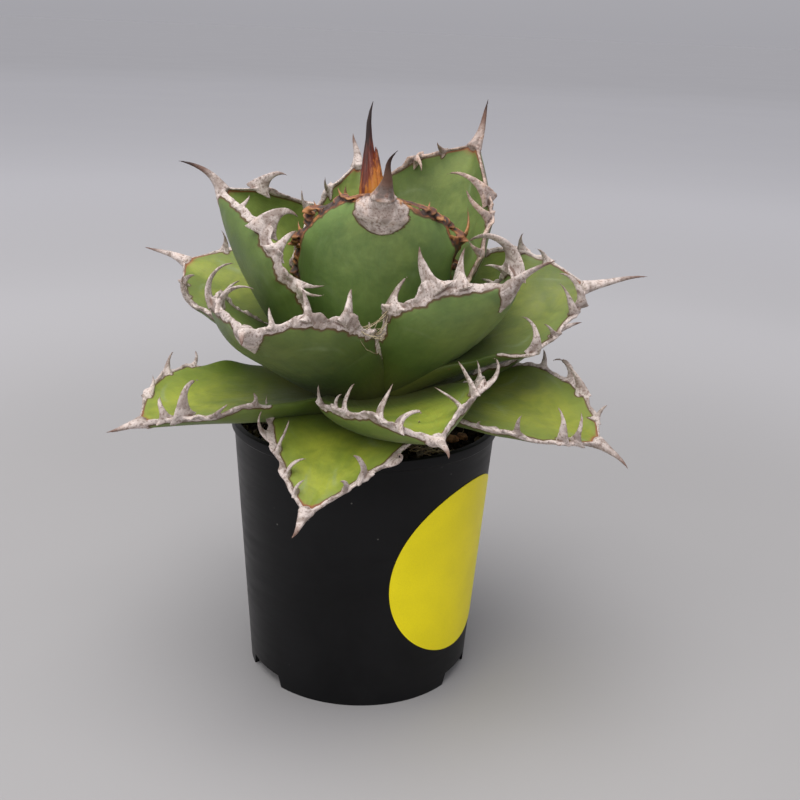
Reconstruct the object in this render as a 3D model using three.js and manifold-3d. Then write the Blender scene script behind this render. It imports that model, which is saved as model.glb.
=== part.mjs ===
// Agave in a round nursery pot: pot, soil, label, stem, and the rosette with its horny teeth and spines.
// Millimetres, +Z up, front toward -Y. The origin is on the surface that the pot stands on, under the
// middle of the plant's outline. Everything below is measured from the pot's axis instead.
import * as THREE from 'three';
import { mergeVertices } from 'three/addons/utils/BufferGeometryUtils.js';
import Module from 'manifold-3d';

const wasm = await Module();
wasm.setup();

// Clearance between pieces that touch.
const GAP = 0.3;

// The plant reaches further right and back than left and front, so the pot stands off the origin.
const POT_AXIS_X = -5.5;
const POT_AXIS_Y = -3;

// Pot
const POT_HEIGHT = 90;
const RIM_RADIUS = 45;
const RIM_BAND = 3;
const RIM_STEP = 0.7;
const FOOT_RADIUS = 38.4;
const WALL = 1.4;
const FLOOR_HEIGHT = 4.5;
const FLOOR_THICKNESS = 1.5;
const CENTRE_HOLE_RADIUS = 6;
const DRAIN_HOLE_RADIUS = 3.5;
const DRAIN_CIRCLE_RADIUS = 22;
const DRAIN_HOLES = 6;
const FOOT_NOTCHES = 3;
const FIRST_NOTCH_ANGLE = -144;
const NOTCH_TOP_WIDTH = 16;
const NOTCH_FOOT_WIDTH = 19;
const POT_SEGMENTS = 48;

// Soil and stem
const SOIL_EDGE = 82;
const SOIL_CROWN = 85;
const STEM_FOOT = 70;
const STEM_RADIUS = 9;
const STEM_SHOULDER = 90;
const STEM_TOP = 105;

// Round label on the wall, to the right of the front
const LABEL_RADIUS = 31;
const LABEL_HEIGHT = 46;
const LABEL_ANGLE = -32;
const LABEL_THICKNESS = 0.3;

// Rosette: each leaf turns by the golden angle from the one before it, further out and lower down.
const GOLDEN_ANGLE = 137.5;
const FIRST_HEADING = -88;
const INNER_RADIUS = 5;
const RADIUS_STEP = 0.35;
const INNER_HEIGHT = 106.5;
const HEIGHT_STEP = 1.05;

// Blade section
const CROWN_SHARE = 0.25;
const BASE_WIDTH_SHARE = 0.55;
const TIP_WIDTH_SHARE = 0.06;
const BASE_THICKNESS_SHARE = 0.33;
const TIP_THICKNESS = 2.4;
const SECTION_POINTS = 10;
const BLADE_STEPS = 9;
const SPINE_STEPS = 3;
const PATH_STEPS = 40;

// Teeth
const TOOTH_SIDES = 3;
const TOOTH_STEPS = 3;
const TOOTH_ROOT_RADIUS = 1.5;
const TOOTH_ROOT_DEPTH = 1.4;

// Tooth rows: margin (1 = clockwise side seen from above, -1 = the other), place along the blade,
// length, lean toward the tip, hook (change of lean), lift out of the blade's plane, curl (change of lift).
const tooth = (margin, place, length, lean, hook, lift, curl) =>
  ({ margin, place, length, lean, hook, lift, curl });

// A margin whose teeth follow no special order: golden-ratio fractions vary them.
function commonTeeth(margin, count, offset, first = 0.32, last = 0.94) {
  const teeth = [];
  for (let i = 0; i < count; i++) {
    const vary = ((i + offset) * 0.618) % 1;
    const place = first + (last - first) * (i + 0.3 + 0.4 * vary) / count;
    const length = 6 + 5 * vary;
    teeth.push(tooth(margin, place, length, 25 * vary - 15, 80 * vary - 40, 30 + 35 * vary, 30));
  }
  return teeth;
}

// Leaves from the innermost outwards, angles in degrees.
// drift: turn away from the golden-angle spiral; rise, tipRise: slope at the base and at the tip;
// long, half: blade length and half width; cup, tipCup: half angle that the blade is rolled through;
// sway, twist: turn and roll gained along the blade; widest, fullness: outline of the outer half;
// spine: its length; spineUp, spineAside: its bend.
const LEAVES = [
  { drift: 9, rise: 78, tipRise: 67, long: 63.5, half: 27.8, cup: 48, tipCup: 54.5, sway: -3, twist: 11,
    widest: 0.6, fullness: 2, spine: 17, spineUp: -4, spineAside: -23,
    teeth: [tooth(1, 0.9, 8, 0, 0, 0, 20), tooth(1, 0.8, 8, 0, 0, 0, 20), tooth(1, 0.66, 9, 5, 0, 10, 25),
      tooth(1, 0.5, 8, 0, 20, 30, 20), tooth(-1, 0.88, 8, 0, 0, 15, 25), tooth(-1, 0.77, 9, 5, -35, 35, 15),
      tooth(-1, 0.66, 17, 15, 15, -20, 90), tooth(-1, 0.48, 8, 0, 20, 40, 20)] },
  { drift: -5, rise: 61, tipRise: 66, long: 81, half: 30, cup: 26, tipCup: 48, sway: -19, twist: -27,
    widest: 0.6, fullness: 1.7, spine: 16.5, spineUp: 7, spineAside: -15,
    teeth: [tooth(1, 0.8, 20, 35, -45, 95, 35), tooth(1, 0.73, 16, 5, 25, 70, 30),
      tooth(1, 0.58, 9, 0, 20, 50, 30), tooth(-1, 0.86, 12, 10, -60, 85, 60), tooth(-1, 0.93, 7, 10, 0, 40, 20),
      ...commonTeeth(-1, 4, 2, 0.35, 0.78)] },
  { drift: -15, rise: 44, tipRise: 63, long: 73, half: 33.2, cup: 39, tipCup: 85, sway: 7, twist: 16,
    widest: 0.6, fullness: 1.8, spine: 17.5, spineUp: -54, spineAside: -31,
    teeth: [tooth(1, 0.92, 13.5, 37, -57, 16, -7), ...commonTeeth(1, 4, 1, 0.35, 0.8),
      tooth(-1, 0.77, 18.5, 38, -86, 55, 50), tooth(-1, 0.67, 12, 19, -6, 58, 24),
      tooth(-1, 0.57, 15, -59, 21, 27, 20), tooth(-1, 0.49, 12, -38, 0, -21, 46),
      tooth(-1, 0.9, 6, 20, 0, 30, 20)] },
  { drift: 6, rise: 31, tipRise: 47, long: 64, half: 26.5, cup: 46, tipCup: 64, sway: -21, twist: -2,
    widest: 0.6, fullness: 1.9, spine: 19, spineUp: -25, spineAside: -14,
    teeth: [tooth(1, 0.57, 13, 20, 50, 60, 25), tooth(1, 0.8, 16, 4, 5, 35, -5),
      tooth(1, 0.88, 13, 20, 15, 55, -10), tooth(-1, 0.85, 26, 60, -130, 35, 70),
      tooth(-1, 0.8, 9, 0, -30, 60, 30), ...commonTeeth(-1, 3, 3, 0.35, 0.72)] },
  { drift: 0, rise: 74, tipRise: 68, long: 71, half: 26, cup: 53, tipCup: 37, sway: 0, twist: 4,
    widest: 0.5, fullness: 1.6, spine: 12, spineUp: -5, spineAside: -12,
    teeth: [tooth(-1, 0.75, 13, 15, 50, 5, 50), tooth(-1, 0.87, 11, 5, 5, 25, 35),
      ...commonTeeth(-1, 2, 1, 0.45, 0.68), ...commonTeeth(1, 5, 4, 0.4)] },
  { drift: -10, rise: 27, tipRise: 27, long: 72, half: 28.5, cup: 47, tipCup: 58, sway: 30, twist: 5,
    widest: 0.6, fullness: 1.8, spine: 9, spineUp: -85, spineAside: -25,
    teeth: [tooth(1, 0.78, 19, 35, -70, 5, 105), tooth(1, 0.88, 17, 25, -15, 45, 110),
      tooth(1, 0.6, 9, 0, -30, 40, 40), tooth(-1, 0.95, 7, 10, -25, 65, -10), tooth(-1, 0.86, 10, 5, 25, 60, -10),
      tooth(-1, 0.73, 13, -5, -5, 45, 10), tooth(-1, 0.55, 8, 0, 20, 40, 20)] },
  { drift: -8, rise: 39, tipRise: 19, long: 74, half: 28, cup: 36, tipCup: 20, sway: -12, twist: -42,
    widest: 0.6, fullness: 1.8, spine: 21, spineUp: -6, spineAside: 10,
    teeth: [tooth(1, 0.67, 16, 50, -90, 95, 45), tooth(1, 0.95, 18, 30, -90, 100, 55),
      tooth(1, 0.92, 14, 0, -5, 90, 40), tooth(1, 0.8, 8, 0, -20, 60, 30), ...commonTeeth(-1, 6, 2)] },
  { drift: 4, rise: 39, tipRise: 20, long: 72, half: 27, cup: 44, tipCup: 24, sway: 0, twist: 22,
    widest: 0.6, fullness: 1.8, spine: 17, spineUp: -12, spineAside: -13,
    teeth: [tooth(-1, 0.72, 15, 45, -40, 30, 40), tooth(-1, 0.88, 10, -5, -45, 50, 25),
      tooth(-1, 0.8, 7, 0, 30, 40, 20), ...commonTeeth(-1, 2, 5, 0.4, 0.66), ...commonTeeth(1, 6, 1)] },
  { drift: -1, rise: 4.5, tipRise: 9, long: 60, half: 27, cup: 21, tipCup: 54, sway: -3, twist: -9,
    widest: 0.5, fullness: 1.6, spine: 13.5, spineUp: -24, spineAside: 14,
    teeth: [tooth(1, 0.63, 9, 11, 45, 23, 81), tooth(1, 0.67, 12, 1, 33, 62, 18),
      tooth(1, 0.82, 12, 4, -7, 69, 21),
      tooth(1, 0.89, 14, 9, 81, 81, 36), tooth(1, 0.47, 8, 0, 20, 40, 20), tooth(-1, 0.71, 19, 24, -112, -39, 95),
      tooth(-1, 0.74, 13, -12, -23, 66, -12), tooth(-1, 0.84, 12, -35, 3, 79, 15),
      tooth(-1, 0.55, 8, 0, -20, 40, 20)] },
  { drift: 0, rise: 24, tipRise: 4, long: 68, half: 25, cup: 34, tipCup: 26, sway: 4, twist: 6,
    widest: 0.5, fullness: 1.6, spine: 13, spineUp: -4, spineAside: 5,
    teeth: [...commonTeeth(1, 6, 3), ...commonTeeth(-1, 6, 6)] },
  { drift: 3, rise: 12, tipRise: -5, long: 72, half: 25, cup: 32, tipCup: 26, sway: 12, twist: 0,
    widest: 0.6, fullness: 1.8, spine: 12, spineUp: 2, spineAside: 0,
    teeth: [tooth(-1, 0.89, 16, 20, -100, 65, 35), tooth(-1, 0.94, 9, 15, -45, 90, 50),
      tooth(-1, 0.8, 9, 0, -30, 10, 20), tooth(-1, 0.65, 8, 0, 30, 20, 20), tooth(1, 0.89, 9.5, -50, 30, 25, 5),
      tooth(1, 0.73, 9.5, -15, -20, 35, 5), tooth(1, 0.61, 8, -65, 75, 35, -10),
      tooth(1, 0.45, 7, 0, 20, 40, 20)] },
  { drift: -4, rise: 18, tipRise: -17, long: 73.5, half: 25, cup: 22, tipCup: 18, sway: -12, twist: -12,
    widest: 0.6, fullness: 1.7, spine: 13, spineUp: -22, spineAside: 13,
    teeth: [tooth(1, 0.66, 15, -40, 65, -10, 60), tooth(1, 0.74, 9, 0, 0, 50, 30),
      tooth(1, 0.9, 13.5, 0, -45, 75, 30),
      tooth(1, 0.94, 12, 5, -20, 75, 30), tooth(-1, 0.73, 14, 10, -140, 35, 15),
      tooth(-1, 0.82, 14, -30, -30, 50, 20), tooth(-1, 0.93, 7, 0, 20, 40, 20),
      tooth(-1, 0.6, 8, 0, -20, 40, 20), tooth(-1, 0.47, 8, 0, 20, 40, 20)] },
  { drift: 0, rise: 16, tipRise: -6, long: 70, half: 25, cup: 30, tipCup: 22, sway: -4, twist: 4,
    widest: 0.55, fullness: 1.6, spine: 12, spineUp: -4, spineAside: -6,
    teeth: [...commonTeeth(1, 6, 5), ...commonTeeth(-1, 6, 2)] },
  { drift: 5, rise: 16, tipRise: -34, long: 63, half: 23, cup: 32, tipCup: 22, sway: -14, twist: 5,
    widest: 0.5, fullness: 1.4, spine: 10, spineUp: 6, spineAside: 10,
    teeth: [tooth(1, 0.65, 14, 30, -45, 15, 90), tooth(1, 0.73, 12, -25, -15, 105, -45),
      tooth(1, 0.85, 10, -40, 35, 95, 50),
      tooth(1, 0.93, 7, -20, 0, 90, 30), tooth(1, 0.55, 8, 0, -20, 40, 20), tooth(-1, 0.67, 15, 15, 20, -10, 120),
      tooth(-1, 0.79, 11, -15, 35, 70, 30), tooth(-1, 0.86, 8, 0, 40, 60, 30),
      tooth(-1, 0.48, 8, 0, 20, 40, 20)] },
  { drift: -7, rise: 25, tipRise: 12, long: 69, half: 24, cup: 35, tipCup: 25, sway: -8, twist: 0,
    widest: 0.5, fullness: 1.6, spine: 11, spineUp: -3, spineAside: 0,
    teeth: [...commonTeeth(1, 6, 4), ...commonTeeth(-1, 6, 1)] },
];

// The closed bud: two young leaves rolled round the point that stands out of them, the inner one first.
// They stand at a radius of their own, so that each is rolled round what is inside it.
const BUD_LEAVES = [
  { drift: 0, rise: 89, tipRise: 95, long: 57, half: 11, cup: 105, tipCup: 115, sway: 0, twist: 0,
    widest: 0.4, fullness: 1.6, spine: 14, spineUp: 4, spineAside: 0, radius: 4.6, teeth: [] },
  { drift: 0, rise: 86, tipRise: 84, long: 50, half: 16, cup: 105, tipCup: 110, sway: 0, twist: 0,
    widest: 0.4, fullness: 1.6, spine: 8, spineUp: 6, spineAside: 0, radius: 8, teeth: [] },
];
const BUD_FOOT = 112;
const BUD_TIP = 193;
const BUD_RADIUS = 4.4;
const BUD_LEAN = -1;

const rad = THREE.MathUtils.degToRad;
const lerp = THREE.MathUtils.lerp;

// ---- solids ----

function solidOf(geometry) {
  const bare = geometry.index ? geometry.toNonIndexed() : geometry.clone();
  bare.deleteAttribute('normal');
  bare.deleteAttribute('uv');
  const merged = mergeVertices(bare, 1e-4);
  const mesh = new wasm.Mesh({
    numProp: 3,
    vertProperties: merged.attributes.position.array,
    triVerts: new Uint32Array(merged.index.array),
  });
  return new wasm.Manifold(mesh);
}

function geometryOf(solid) {
  const mesh = solid.getMesh();
  const geometry = new THREE.BufferGeometry();
  geometry.setAttribute('position', new THREE.BufferAttribute(new Float32Array(mesh.vertProperties), 3));
  geometry.setIndex(new THREE.BufferAttribute(new Uint32Array(mesh.triVerts), 1));
  const faceted = geometry.toNonIndexed();
  faceted.computeVertexNormals();
  return faceted;
}

// The largest body of a solid, without the crumbs that a cut leaves.
function mainBody(solid) {
  const bodies = solid.decompose();
  return bodies.reduce((best, body) => (body.volume() > best.volume() ? body : best));
}

// A closed surface through rings of points, from one pole to the other. The rings may run either way round.
function loft(firstPole, rings, lastPole) {
  const points = [firstPole, ...rings.flat(), lastPole];
  const count = rings[0].length;
  const last = points.length - 1;
  const faces = [];
  for (let k = 0; k < count; k++) {
    const next = (k + 1) % count;
    faces.push(0, 1 + next, 1 + k);
    for (let r = 0; r + 1 < rings.length; r++) {
      const low = 1 + r * count;
      const high = low + count;
      faces.push(low + k, low + next, high + next, low + k, high + next, high + k);
    }
    const end = 1 + (rings.length - 1) * count;
    faces.push(end + k, end + next, last);
  }
  const geometry = new THREE.BufferGeometry().setFromPoints(points);
  geometry.setIndex(faces);
  const solid = solidOf(geometry);
  if (solid.volume() > 0) return solid;
  geometry.setIndex(faces.reverse());
  return solidOf(geometry);
}

function lathe(profile, segments) {
  const points = profile.map(([radius, height]) => new THREE.Vector2(radius, height));
  return solidOf(new THREE.LatheGeometry(points, segments).rotateX(Math.PI / 2));
}

// ---- pot, soil, stem and label ----

function wallRadius(height) {
  return lerp(FOOT_RADIUS, RIM_RADIUS - RIM_STEP, height / POT_HEIGHT);
}

function makePot() {
  const bandFoot = POT_HEIGHT - RIM_BAND;
  const floorTop = FLOOR_HEIGHT + FLOOR_THICKNESS;
  let pot = lathe([
    [FOOT_RADIUS, 0], [wallRadius(bandFoot - RIM_STEP), bandFoot - RIM_STEP], [RIM_RADIUS, bandFoot],
    [RIM_RADIUS, POT_HEIGHT], [RIM_RADIUS - RIM_STEP - WALL, POT_HEIGHT],
    [wallRadius(floorTop) - WALL, floorTop], [CENTRE_HOLE_RADIUS, floorTop], [CENTRE_HOLE_RADIUS, FLOOR_HEIGHT],
    [wallRadius(FLOOR_HEIGHT) - WALL, FLOOR_HEIGHT], [FOOT_RADIUS - WALL, 0], [FOOT_RADIUS, 0],
  ], POT_SEGMENTS);
  const drain = new THREE.CylinderGeometry(DRAIN_HOLE_RADIUS, DRAIN_HOLE_RADIUS, 4 * FLOOR_THICKNESS, 16);
  drain.rotateX(Math.PI / 2).translate(DRAIN_CIRCLE_RADIUS, 0, FLOOR_HEIGHT);
  for (let i = 0; i < DRAIN_HOLES; i++) {
    pot = pot.subtract(solidOf(drain.clone().rotateZ(rad(360 / DRAIN_HOLES * i))));
  }
  const outline = new THREE.Shape([
    new THREE.Vector2(-NOTCH_FOOT_WIDTH / 2, -1), new THREE.Vector2(NOTCH_FOOT_WIDTH / 2, -1),
    new THREE.Vector2(NOTCH_TOP_WIDTH / 2, FLOOR_HEIGHT - GAP),
    new THREE.Vector2(-NOTCH_TOP_WIDTH / 2, FLOOR_HEIGHT - GAP),
  ]);
  const notch = new THREE.ExtrudeGeometry(outline, { depth: 3 * WALL + 6, bevelEnabled: false });
  notch.rotateX(Math.PI / 2).rotateZ(Math.PI / 2).translate(FOOT_RADIUS - WALL - 4, 0, 0);
  for (let i = 0; i < FOOT_NOTCHES; i++) {
    pot = pot.subtract(solidOf(notch.clone().rotateZ(rad(FIRST_NOTCH_ANGLE + 360 / FOOT_NOTCHES * i))));
  }
  return pot;
}

function makeSoil() {
  const foot = FLOOR_HEIGHT + FLOOR_THICKNESS + GAP;
  const hole = STEM_RADIUS + GAP;
  return lathe([
    [0, foot], [wallRadius(foot) - WALL - GAP, foot], [wallRadius(SOIL_EDGE) - WALL - GAP, SOIL_EDGE],
    [2 * hole, SOIL_CROWN], [hole, SOIL_CROWN], [hole, STEM_FOOT - GAP], [0, STEM_FOOT - GAP],
  ], POT_SEGMENTS);
}

function makeStem(grow = 0) {
  return lathe([
    [0, STEM_FOOT - grow], [STEM_RADIUS + grow, STEM_FOOT - grow], [STEM_RADIUS + grow, STEM_SHOULDER],
    [INNER_RADIUS / 2 + grow, STEM_TOP + grow], [0, STEM_TOP + grow],
  ], 24);
}

function onWall(angle, height, lift) {
  const radius = wallRadius(height) + lift;
  return new THREE.Vector3(radius * Math.cos(angle), radius * Math.sin(angle), height);
}

function makeLabel() {
  const segments = 32;
  const shares = [0.2, 0.4, 0.6, 0.8, 1];
  const ringAt = (share, lift) => Array.from({ length: segments }, (_, k) => {
    const turn = 2 * Math.PI * k / segments;
    const height = LABEL_HEIGHT + share * LABEL_RADIUS * Math.sin(turn);
    const across = share * LABEL_RADIUS * Math.cos(turn);
    return onWall(rad(LABEL_ANGLE) + across / wallRadius(height), height, lift);
  });
  const under = GAP;
  const top = GAP + LABEL_THICKNESS;
  const rings = [...shares.map((share) => ringAt(share, under)),
    ...shares.toReversed().map((share) => ringAt(share, top))];
  const centre = (lift) => onWall(rad(LABEL_ANGLE), LABEL_HEIGHT, lift);
  return loft(centre(under), rings, centre(top));
}

// ---- leaves ----

// Where the midrib is, and which way it, the blade's side and its upper face point.
function bladeFrame(leaf, t) {
  const heading = rad(leaf.heading + leaf.sway * t);
  const slope = rad(lerp(leaf.rise, leaf.tipRise, t));
  const roll = rad(leaf.twist * t);
  const along = new THREE.Vector3(
    Math.cos(slope) * Math.cos(heading), Math.cos(slope) * Math.sin(heading), Math.sin(slope));
  const level = new THREE.Vector3(Math.sin(heading), -Math.cos(heading), 0);
  const side = level.clone().multiplyScalar(Math.cos(roll))
    .addScaledVector(level.clone().cross(along), Math.sin(roll));
  const up = side.clone().cross(along);
  return { along, side, up };
}

function midribPath(leaf) {
  const heading = rad(leaf.heading);
  const point = new THREE.Vector3(
    leaf.radius * Math.cos(heading), leaf.radius * Math.sin(heading), leaf.height);
  const path = [point.clone()];
  for (let i = 0; i < PATH_STEPS; i++) {
    point.addScaledVector(bladeFrame(leaf, (i + 0.5) / PATH_STEPS).along, leaf.long / PATH_STEPS);
    path.push(point.clone());
  }
  return path;
}

function midribPoint(leaf, t) {
  const place = THREE.MathUtils.clamp(t, 0, 1) * PATH_STEPS;
  const low = Math.min(Math.floor(place), PATH_STEPS - 1);
  return leaf.path[low].clone().lerp(leaf.path[low + 1], place - low);
}

function halfWidth(leaf, t) {
  if (t < leaf.widest) {
    const open = Math.sin(Math.PI / 2 * t / leaf.widest);
    return leaf.half * lerp(BASE_WIDTH_SHARE, 1, open);
  }
  const past = (t - leaf.widest) / (1 - leaf.widest);
  return leaf.half * (1 - (1 - TIP_WIDTH_SHARE) * past ** leaf.fullness);
}

function thickness(leaf, t) {
  return lerp(leaf.half * BASE_THICKNESS_SHARE, TIP_THICKNESS, t * t);
}

// One ring round the blade, or round a blade that is larger by grow on every side.
function bladeRing(leaf, t, grow) {
  const { along, side, up } = bladeFrame(leaf, t);
  const middle = midribPoint(leaf, t);
  if (t === 0) middle.addScaledVector(along, -grow);
  const width = halfWidth(leaf, t);
  const cup = rad(lerp(leaf.cup, leaf.tipCup, t));
  const bend = width / cup;
  return Array.from({ length: SECTION_POINTS }, (_, k) => {
    const turn = 2 * Math.PI * k / SECTION_POINTS;
    const across = Math.cos(turn);
    const share = Math.sin(turn) > 0 ? CROWN_SHARE : 1 - CROWN_SHARE;
    const off = (share * thickness(leaf, t) + grow) * Math.sin(turn);
    const tilt = cup * across;
    const reach = bend * Math.sin(tilt) + (grow * across) * Math.cos(tilt) - off * Math.sin(tilt);
    const lift = bend * (1 - Math.cos(tilt)) + (grow * across) * Math.sin(tilt) + off * Math.cos(tilt);
    return middle.clone().addScaledVector(side, reach).addScaledVector(up, lift);
  });
}

function spineRings(leaf, grow) {
  const { along, side, up } = bladeFrame(leaf, 1);
  const point = midribPoint(leaf, 1);
  const rings = [];
  const step = (leaf.spine + grow) / SPINE_STEPS;
  for (let i = 1; i <= SPINE_STEPS; i++) {
    const share = (i - 0.5) / SPINE_STEPS;
    const raise = rad(leaf.spineUp * share);
    const swing = rad(leaf.spineAside * share);
    const ahead = along.clone().multiplyScalar(Math.cos(raise)).addScaledVector(up, Math.sin(raise));
    ahead.multiplyScalar(Math.cos(swing)).addScaledVector(side, Math.sin(swing));
    point.addScaledVector(ahead, step);
    const radius = leaf.half * TIP_WIDTH_SHARE * (1 - i / SPINE_STEPS) ** 0.8 + grow;
    rings.push(Array.from({ length: SECTION_POINTS }, (_, k) => {
      const turn = 2 * Math.PI * k / SECTION_POINTS;
      return point.clone().addScaledVector(side, radius * Math.cos(turn))
        .addScaledVector(up, radius * Math.sin(turn));
    }));
  }
  rings.pop();
  return { rings, tip: point };
}

function makeBlade(leaf, grow = 0) {
  const rings = [];
  for (let i = 0; i <= BLADE_STEPS; i++) rings.push(bladeRing(leaf, i / BLADE_STEPS, grow));
  const spine = spineRings(leaf, grow);
  const foot = rings[0].reduce((sum, point) => sum.add(point), new THREE.Vector3());
  foot.divideScalar(SECTION_POINTS);
  return loft(foot, [...rings, ...spine.rings], spine.tip);
}

function makeTooth(leaf, row, grow = 0) {
  const { along, side, up } = bladeFrame(leaf, row.place);
  const width = halfWidth(leaf, row.place);
  const cup = rad(lerp(leaf.cup, leaf.tipCup, row.place));
  const bend = width / cup;
  const outward = side.clone().multiplyScalar(row.margin * Math.cos(cup)).addScaledVector(up, Math.sin(cup));
  const above = side.clone().multiplyScalar(-row.margin * Math.sin(cup)).addScaledVector(up, Math.cos(cup));
  const point = midribPoint(leaf, row.place).addScaledVector(side, row.margin * bend * Math.sin(cup))
    .addScaledVector(up, bend * (1 - Math.cos(cup)));
  point.addScaledVector(outward, -TOOTH_ROOT_DEPTH - grow);
  const rings = [];
  const length = row.length + TOOTH_ROOT_DEPTH + 2 * grow;
  const root = point.clone();
  for (let i = 0; i < TOOTH_STEPS; i++) {
    const share = (i + 0.5) / TOOTH_STEPS;
    const lean = rad(row.lean + row.hook * share);
    const lift = rad(row.lift + row.curl * share) * (i > 0 ? 1 : 0.5);
    const ahead = outward.clone().multiplyScalar(Math.cos(lift)).addScaledVector(above, Math.sin(lift));
    ahead.multiplyScalar(Math.cos(lean)).addScaledVector(along, Math.sin(lean));
    const broad = along.clone().addScaledVector(ahead, -along.dot(ahead)).normalize();
    const thin = ahead.clone().cross(broad);
    const radius = TOOTH_ROOT_RADIUS * (1 - i / TOOTH_STEPS) ** 0.9 + grow;
    rings.push(Array.from({ length: TOOTH_SIDES }, (_, k) => {
      const turn = 2 * Math.PI * k / TOOTH_SIDES;
      return point.clone().addScaledVector(broad, radius * Math.cos(turn))
        .addScaledVector(thin, 0.7 * radius * Math.sin(turn));
    }));
    point.addScaledVector(ahead, length / TOOTH_STEPS);
  }
  return loft(root, rings, point);
}

function makeTeeth(leaf, grow = 0) {
  return wasm.Manifold.union(leaf.teeth.map((row) => makeTooth(leaf, row, grow)));
}

// Places a leaf on the spiral: rank 0 is the innermost open leaf.
function placeLeaf(shape, rank) {
  const leaf = {
    ...shape,
    heading: FIRST_HEADING + GOLDEN_ANGLE * rank + shape.drift,
    radius: shape.radius ?? INNER_RADIUS + RADIUS_STEP * rank,
    height: INNER_HEIGHT - HEIGHT_STEP * rank,
  };
  leaf.path = midribPath(leaf);
  return leaf;
}

// The point of the bud: a slender cone that ends in a thin spine.
function makeBudPoint(grow = 0) {
  const profile = [[0.7, 0], [1, 0.3], [1, 0.6], [0.82, 0.72], [0.36, 0.84], [0.16, 0.94]];
  const length = BUD_TIP - BUD_FOOT;
  const place = (share) => new THREE.Vector3(BUD_LEAN * share, 0, BUD_FOOT + length * share);
  const rings = profile.map(([size, share]) => Array.from({ length: SECTION_POINTS }, (_, k) => {
    const turn = 2 * Math.PI * k / SECTION_POINTS;
    const radius = size * BUD_RADIUS + grow;
    return place(share).add(new THREE.Vector3(radius * Math.cos(turn), radius * Math.sin(turn), 0));
  }));
  return loft(place(-grow / length), rings, place(1 + grow / length));
}

// Inner pieces keep their shape; each leaf gives way to those inside it.
function makeRosette() {
  const buds = BUD_LEAVES.map((shape, i) => placeLeaf(shape, i - BUD_LEAVES.length));
  const order = [...buds, ...LEAVES.map(placeLeaf)];
  const blades = order.map((leaf) => makeBlade(leaf));
  const around = order.map((leaf) => makeBlade(leaf, GAP));
  let taken = makeStem(GAP).add(makeBudPoint(GAP));
  const result = [];
  blades.forEach((blade, i) => {
    result.push(mainBody(blade.subtract(taken)));
    taken = taken.add(around[i]);
  });
  let teethTaken = null;
  order.forEach((leaf, i) => {
    if (!leaf.teeth.length) return;
    const others = wasm.Manifold.union(around.filter((_, j) => j !== i));
    let teeth = makeTeeth(leaf).subtract(others);
    if (teethTaken) teeth = teeth.subtract(teethTaken);
    result[i] = mainBody(result[i].add(teeth));
    const grown = makeTeeth(leaf, GAP);
    teethTaken = teethTaken ? teethTaken.add(grown) : grown;
  });
  const budNames = BUD_LEAVES.map((_, i) => `bud_leaf_${i + 1}`);
  const leafNames = LEAVES.map((_, i) => `leaf_${String(i + 1).padStart(2, '0')}`);
  const names = [...budNames, ...leafNames];
  return names.map((name, i) => ({ name, solid: result[i] }));
}

// ---- scene graph ----

function finish(color, roughness) {
  return new THREE.MeshStandardMaterial({ color, roughness, metalness: 0 });
}

const agave = new THREE.Group();
const planted = new THREE.Group();
planted.position.set(POT_AXIS_X, POT_AXIS_Y, 0);
agave.add(planted);

function addPart(name, solid, material) {
  const mesh = new THREE.Mesh(geometryOf(solid), material);
  mesh.name = name;
  planted.add(mesh);
}

addPart('pot', makePot(), finish(0x1b1b1c, 0.45));
addPart('label', makeLabel(), finish(0xd8c82a, 0.35));
addPart('soil', makeSoil(), finish(0x3a2c22, 0.95));
addPart('stem', makeStem(), finish(0xb3a981, 0.8));
addPart('bud_point', makeBudPoint(), finish(0x8a4a20, 0.5));
for (const { name, solid } of makeRosette()) addPart(name, solid, finish(0x5c7c48, 0.6));

export default agave;
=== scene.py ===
"""Potted agave: thick cupped leaves with horny margins, teeth and spines, the closed bud between them,
the stem, the potting mix, the nursery pot with its round label, and the stage.

Leaves are worked out in millimetres about the pot's axis, then placed in the frame in metres."""

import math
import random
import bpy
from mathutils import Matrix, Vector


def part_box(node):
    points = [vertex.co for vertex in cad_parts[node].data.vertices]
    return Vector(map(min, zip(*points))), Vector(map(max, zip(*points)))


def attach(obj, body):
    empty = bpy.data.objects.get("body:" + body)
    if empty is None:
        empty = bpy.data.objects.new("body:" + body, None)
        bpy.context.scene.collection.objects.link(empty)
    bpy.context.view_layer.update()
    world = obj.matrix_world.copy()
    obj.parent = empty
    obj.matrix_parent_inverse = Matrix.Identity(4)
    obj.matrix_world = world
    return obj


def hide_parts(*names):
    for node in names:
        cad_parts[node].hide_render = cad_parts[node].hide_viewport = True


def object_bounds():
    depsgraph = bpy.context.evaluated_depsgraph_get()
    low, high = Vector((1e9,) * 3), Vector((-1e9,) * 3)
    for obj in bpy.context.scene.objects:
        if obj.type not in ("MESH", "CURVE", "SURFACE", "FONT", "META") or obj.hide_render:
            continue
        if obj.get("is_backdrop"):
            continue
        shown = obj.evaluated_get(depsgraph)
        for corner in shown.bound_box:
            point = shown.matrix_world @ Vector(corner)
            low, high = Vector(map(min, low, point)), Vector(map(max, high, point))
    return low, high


bl_info = {
    "name": "Potted Agave",
    "version": (1, 0, 0),
    "blender": (4, 5, 0),
    "location": "3D Viewport > Sidebar > Agave",
    "description": "Builds the leaves, pot, soil and stage around the packed frame of a potted agave",
    "category": "Add Mesh",
}

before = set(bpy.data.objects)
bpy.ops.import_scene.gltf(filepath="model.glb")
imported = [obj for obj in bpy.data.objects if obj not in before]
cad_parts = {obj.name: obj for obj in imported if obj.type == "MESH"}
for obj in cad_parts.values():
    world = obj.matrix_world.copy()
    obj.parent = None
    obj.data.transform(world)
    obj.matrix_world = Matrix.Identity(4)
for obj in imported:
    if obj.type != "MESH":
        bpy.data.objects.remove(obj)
cad_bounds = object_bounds()

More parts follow.
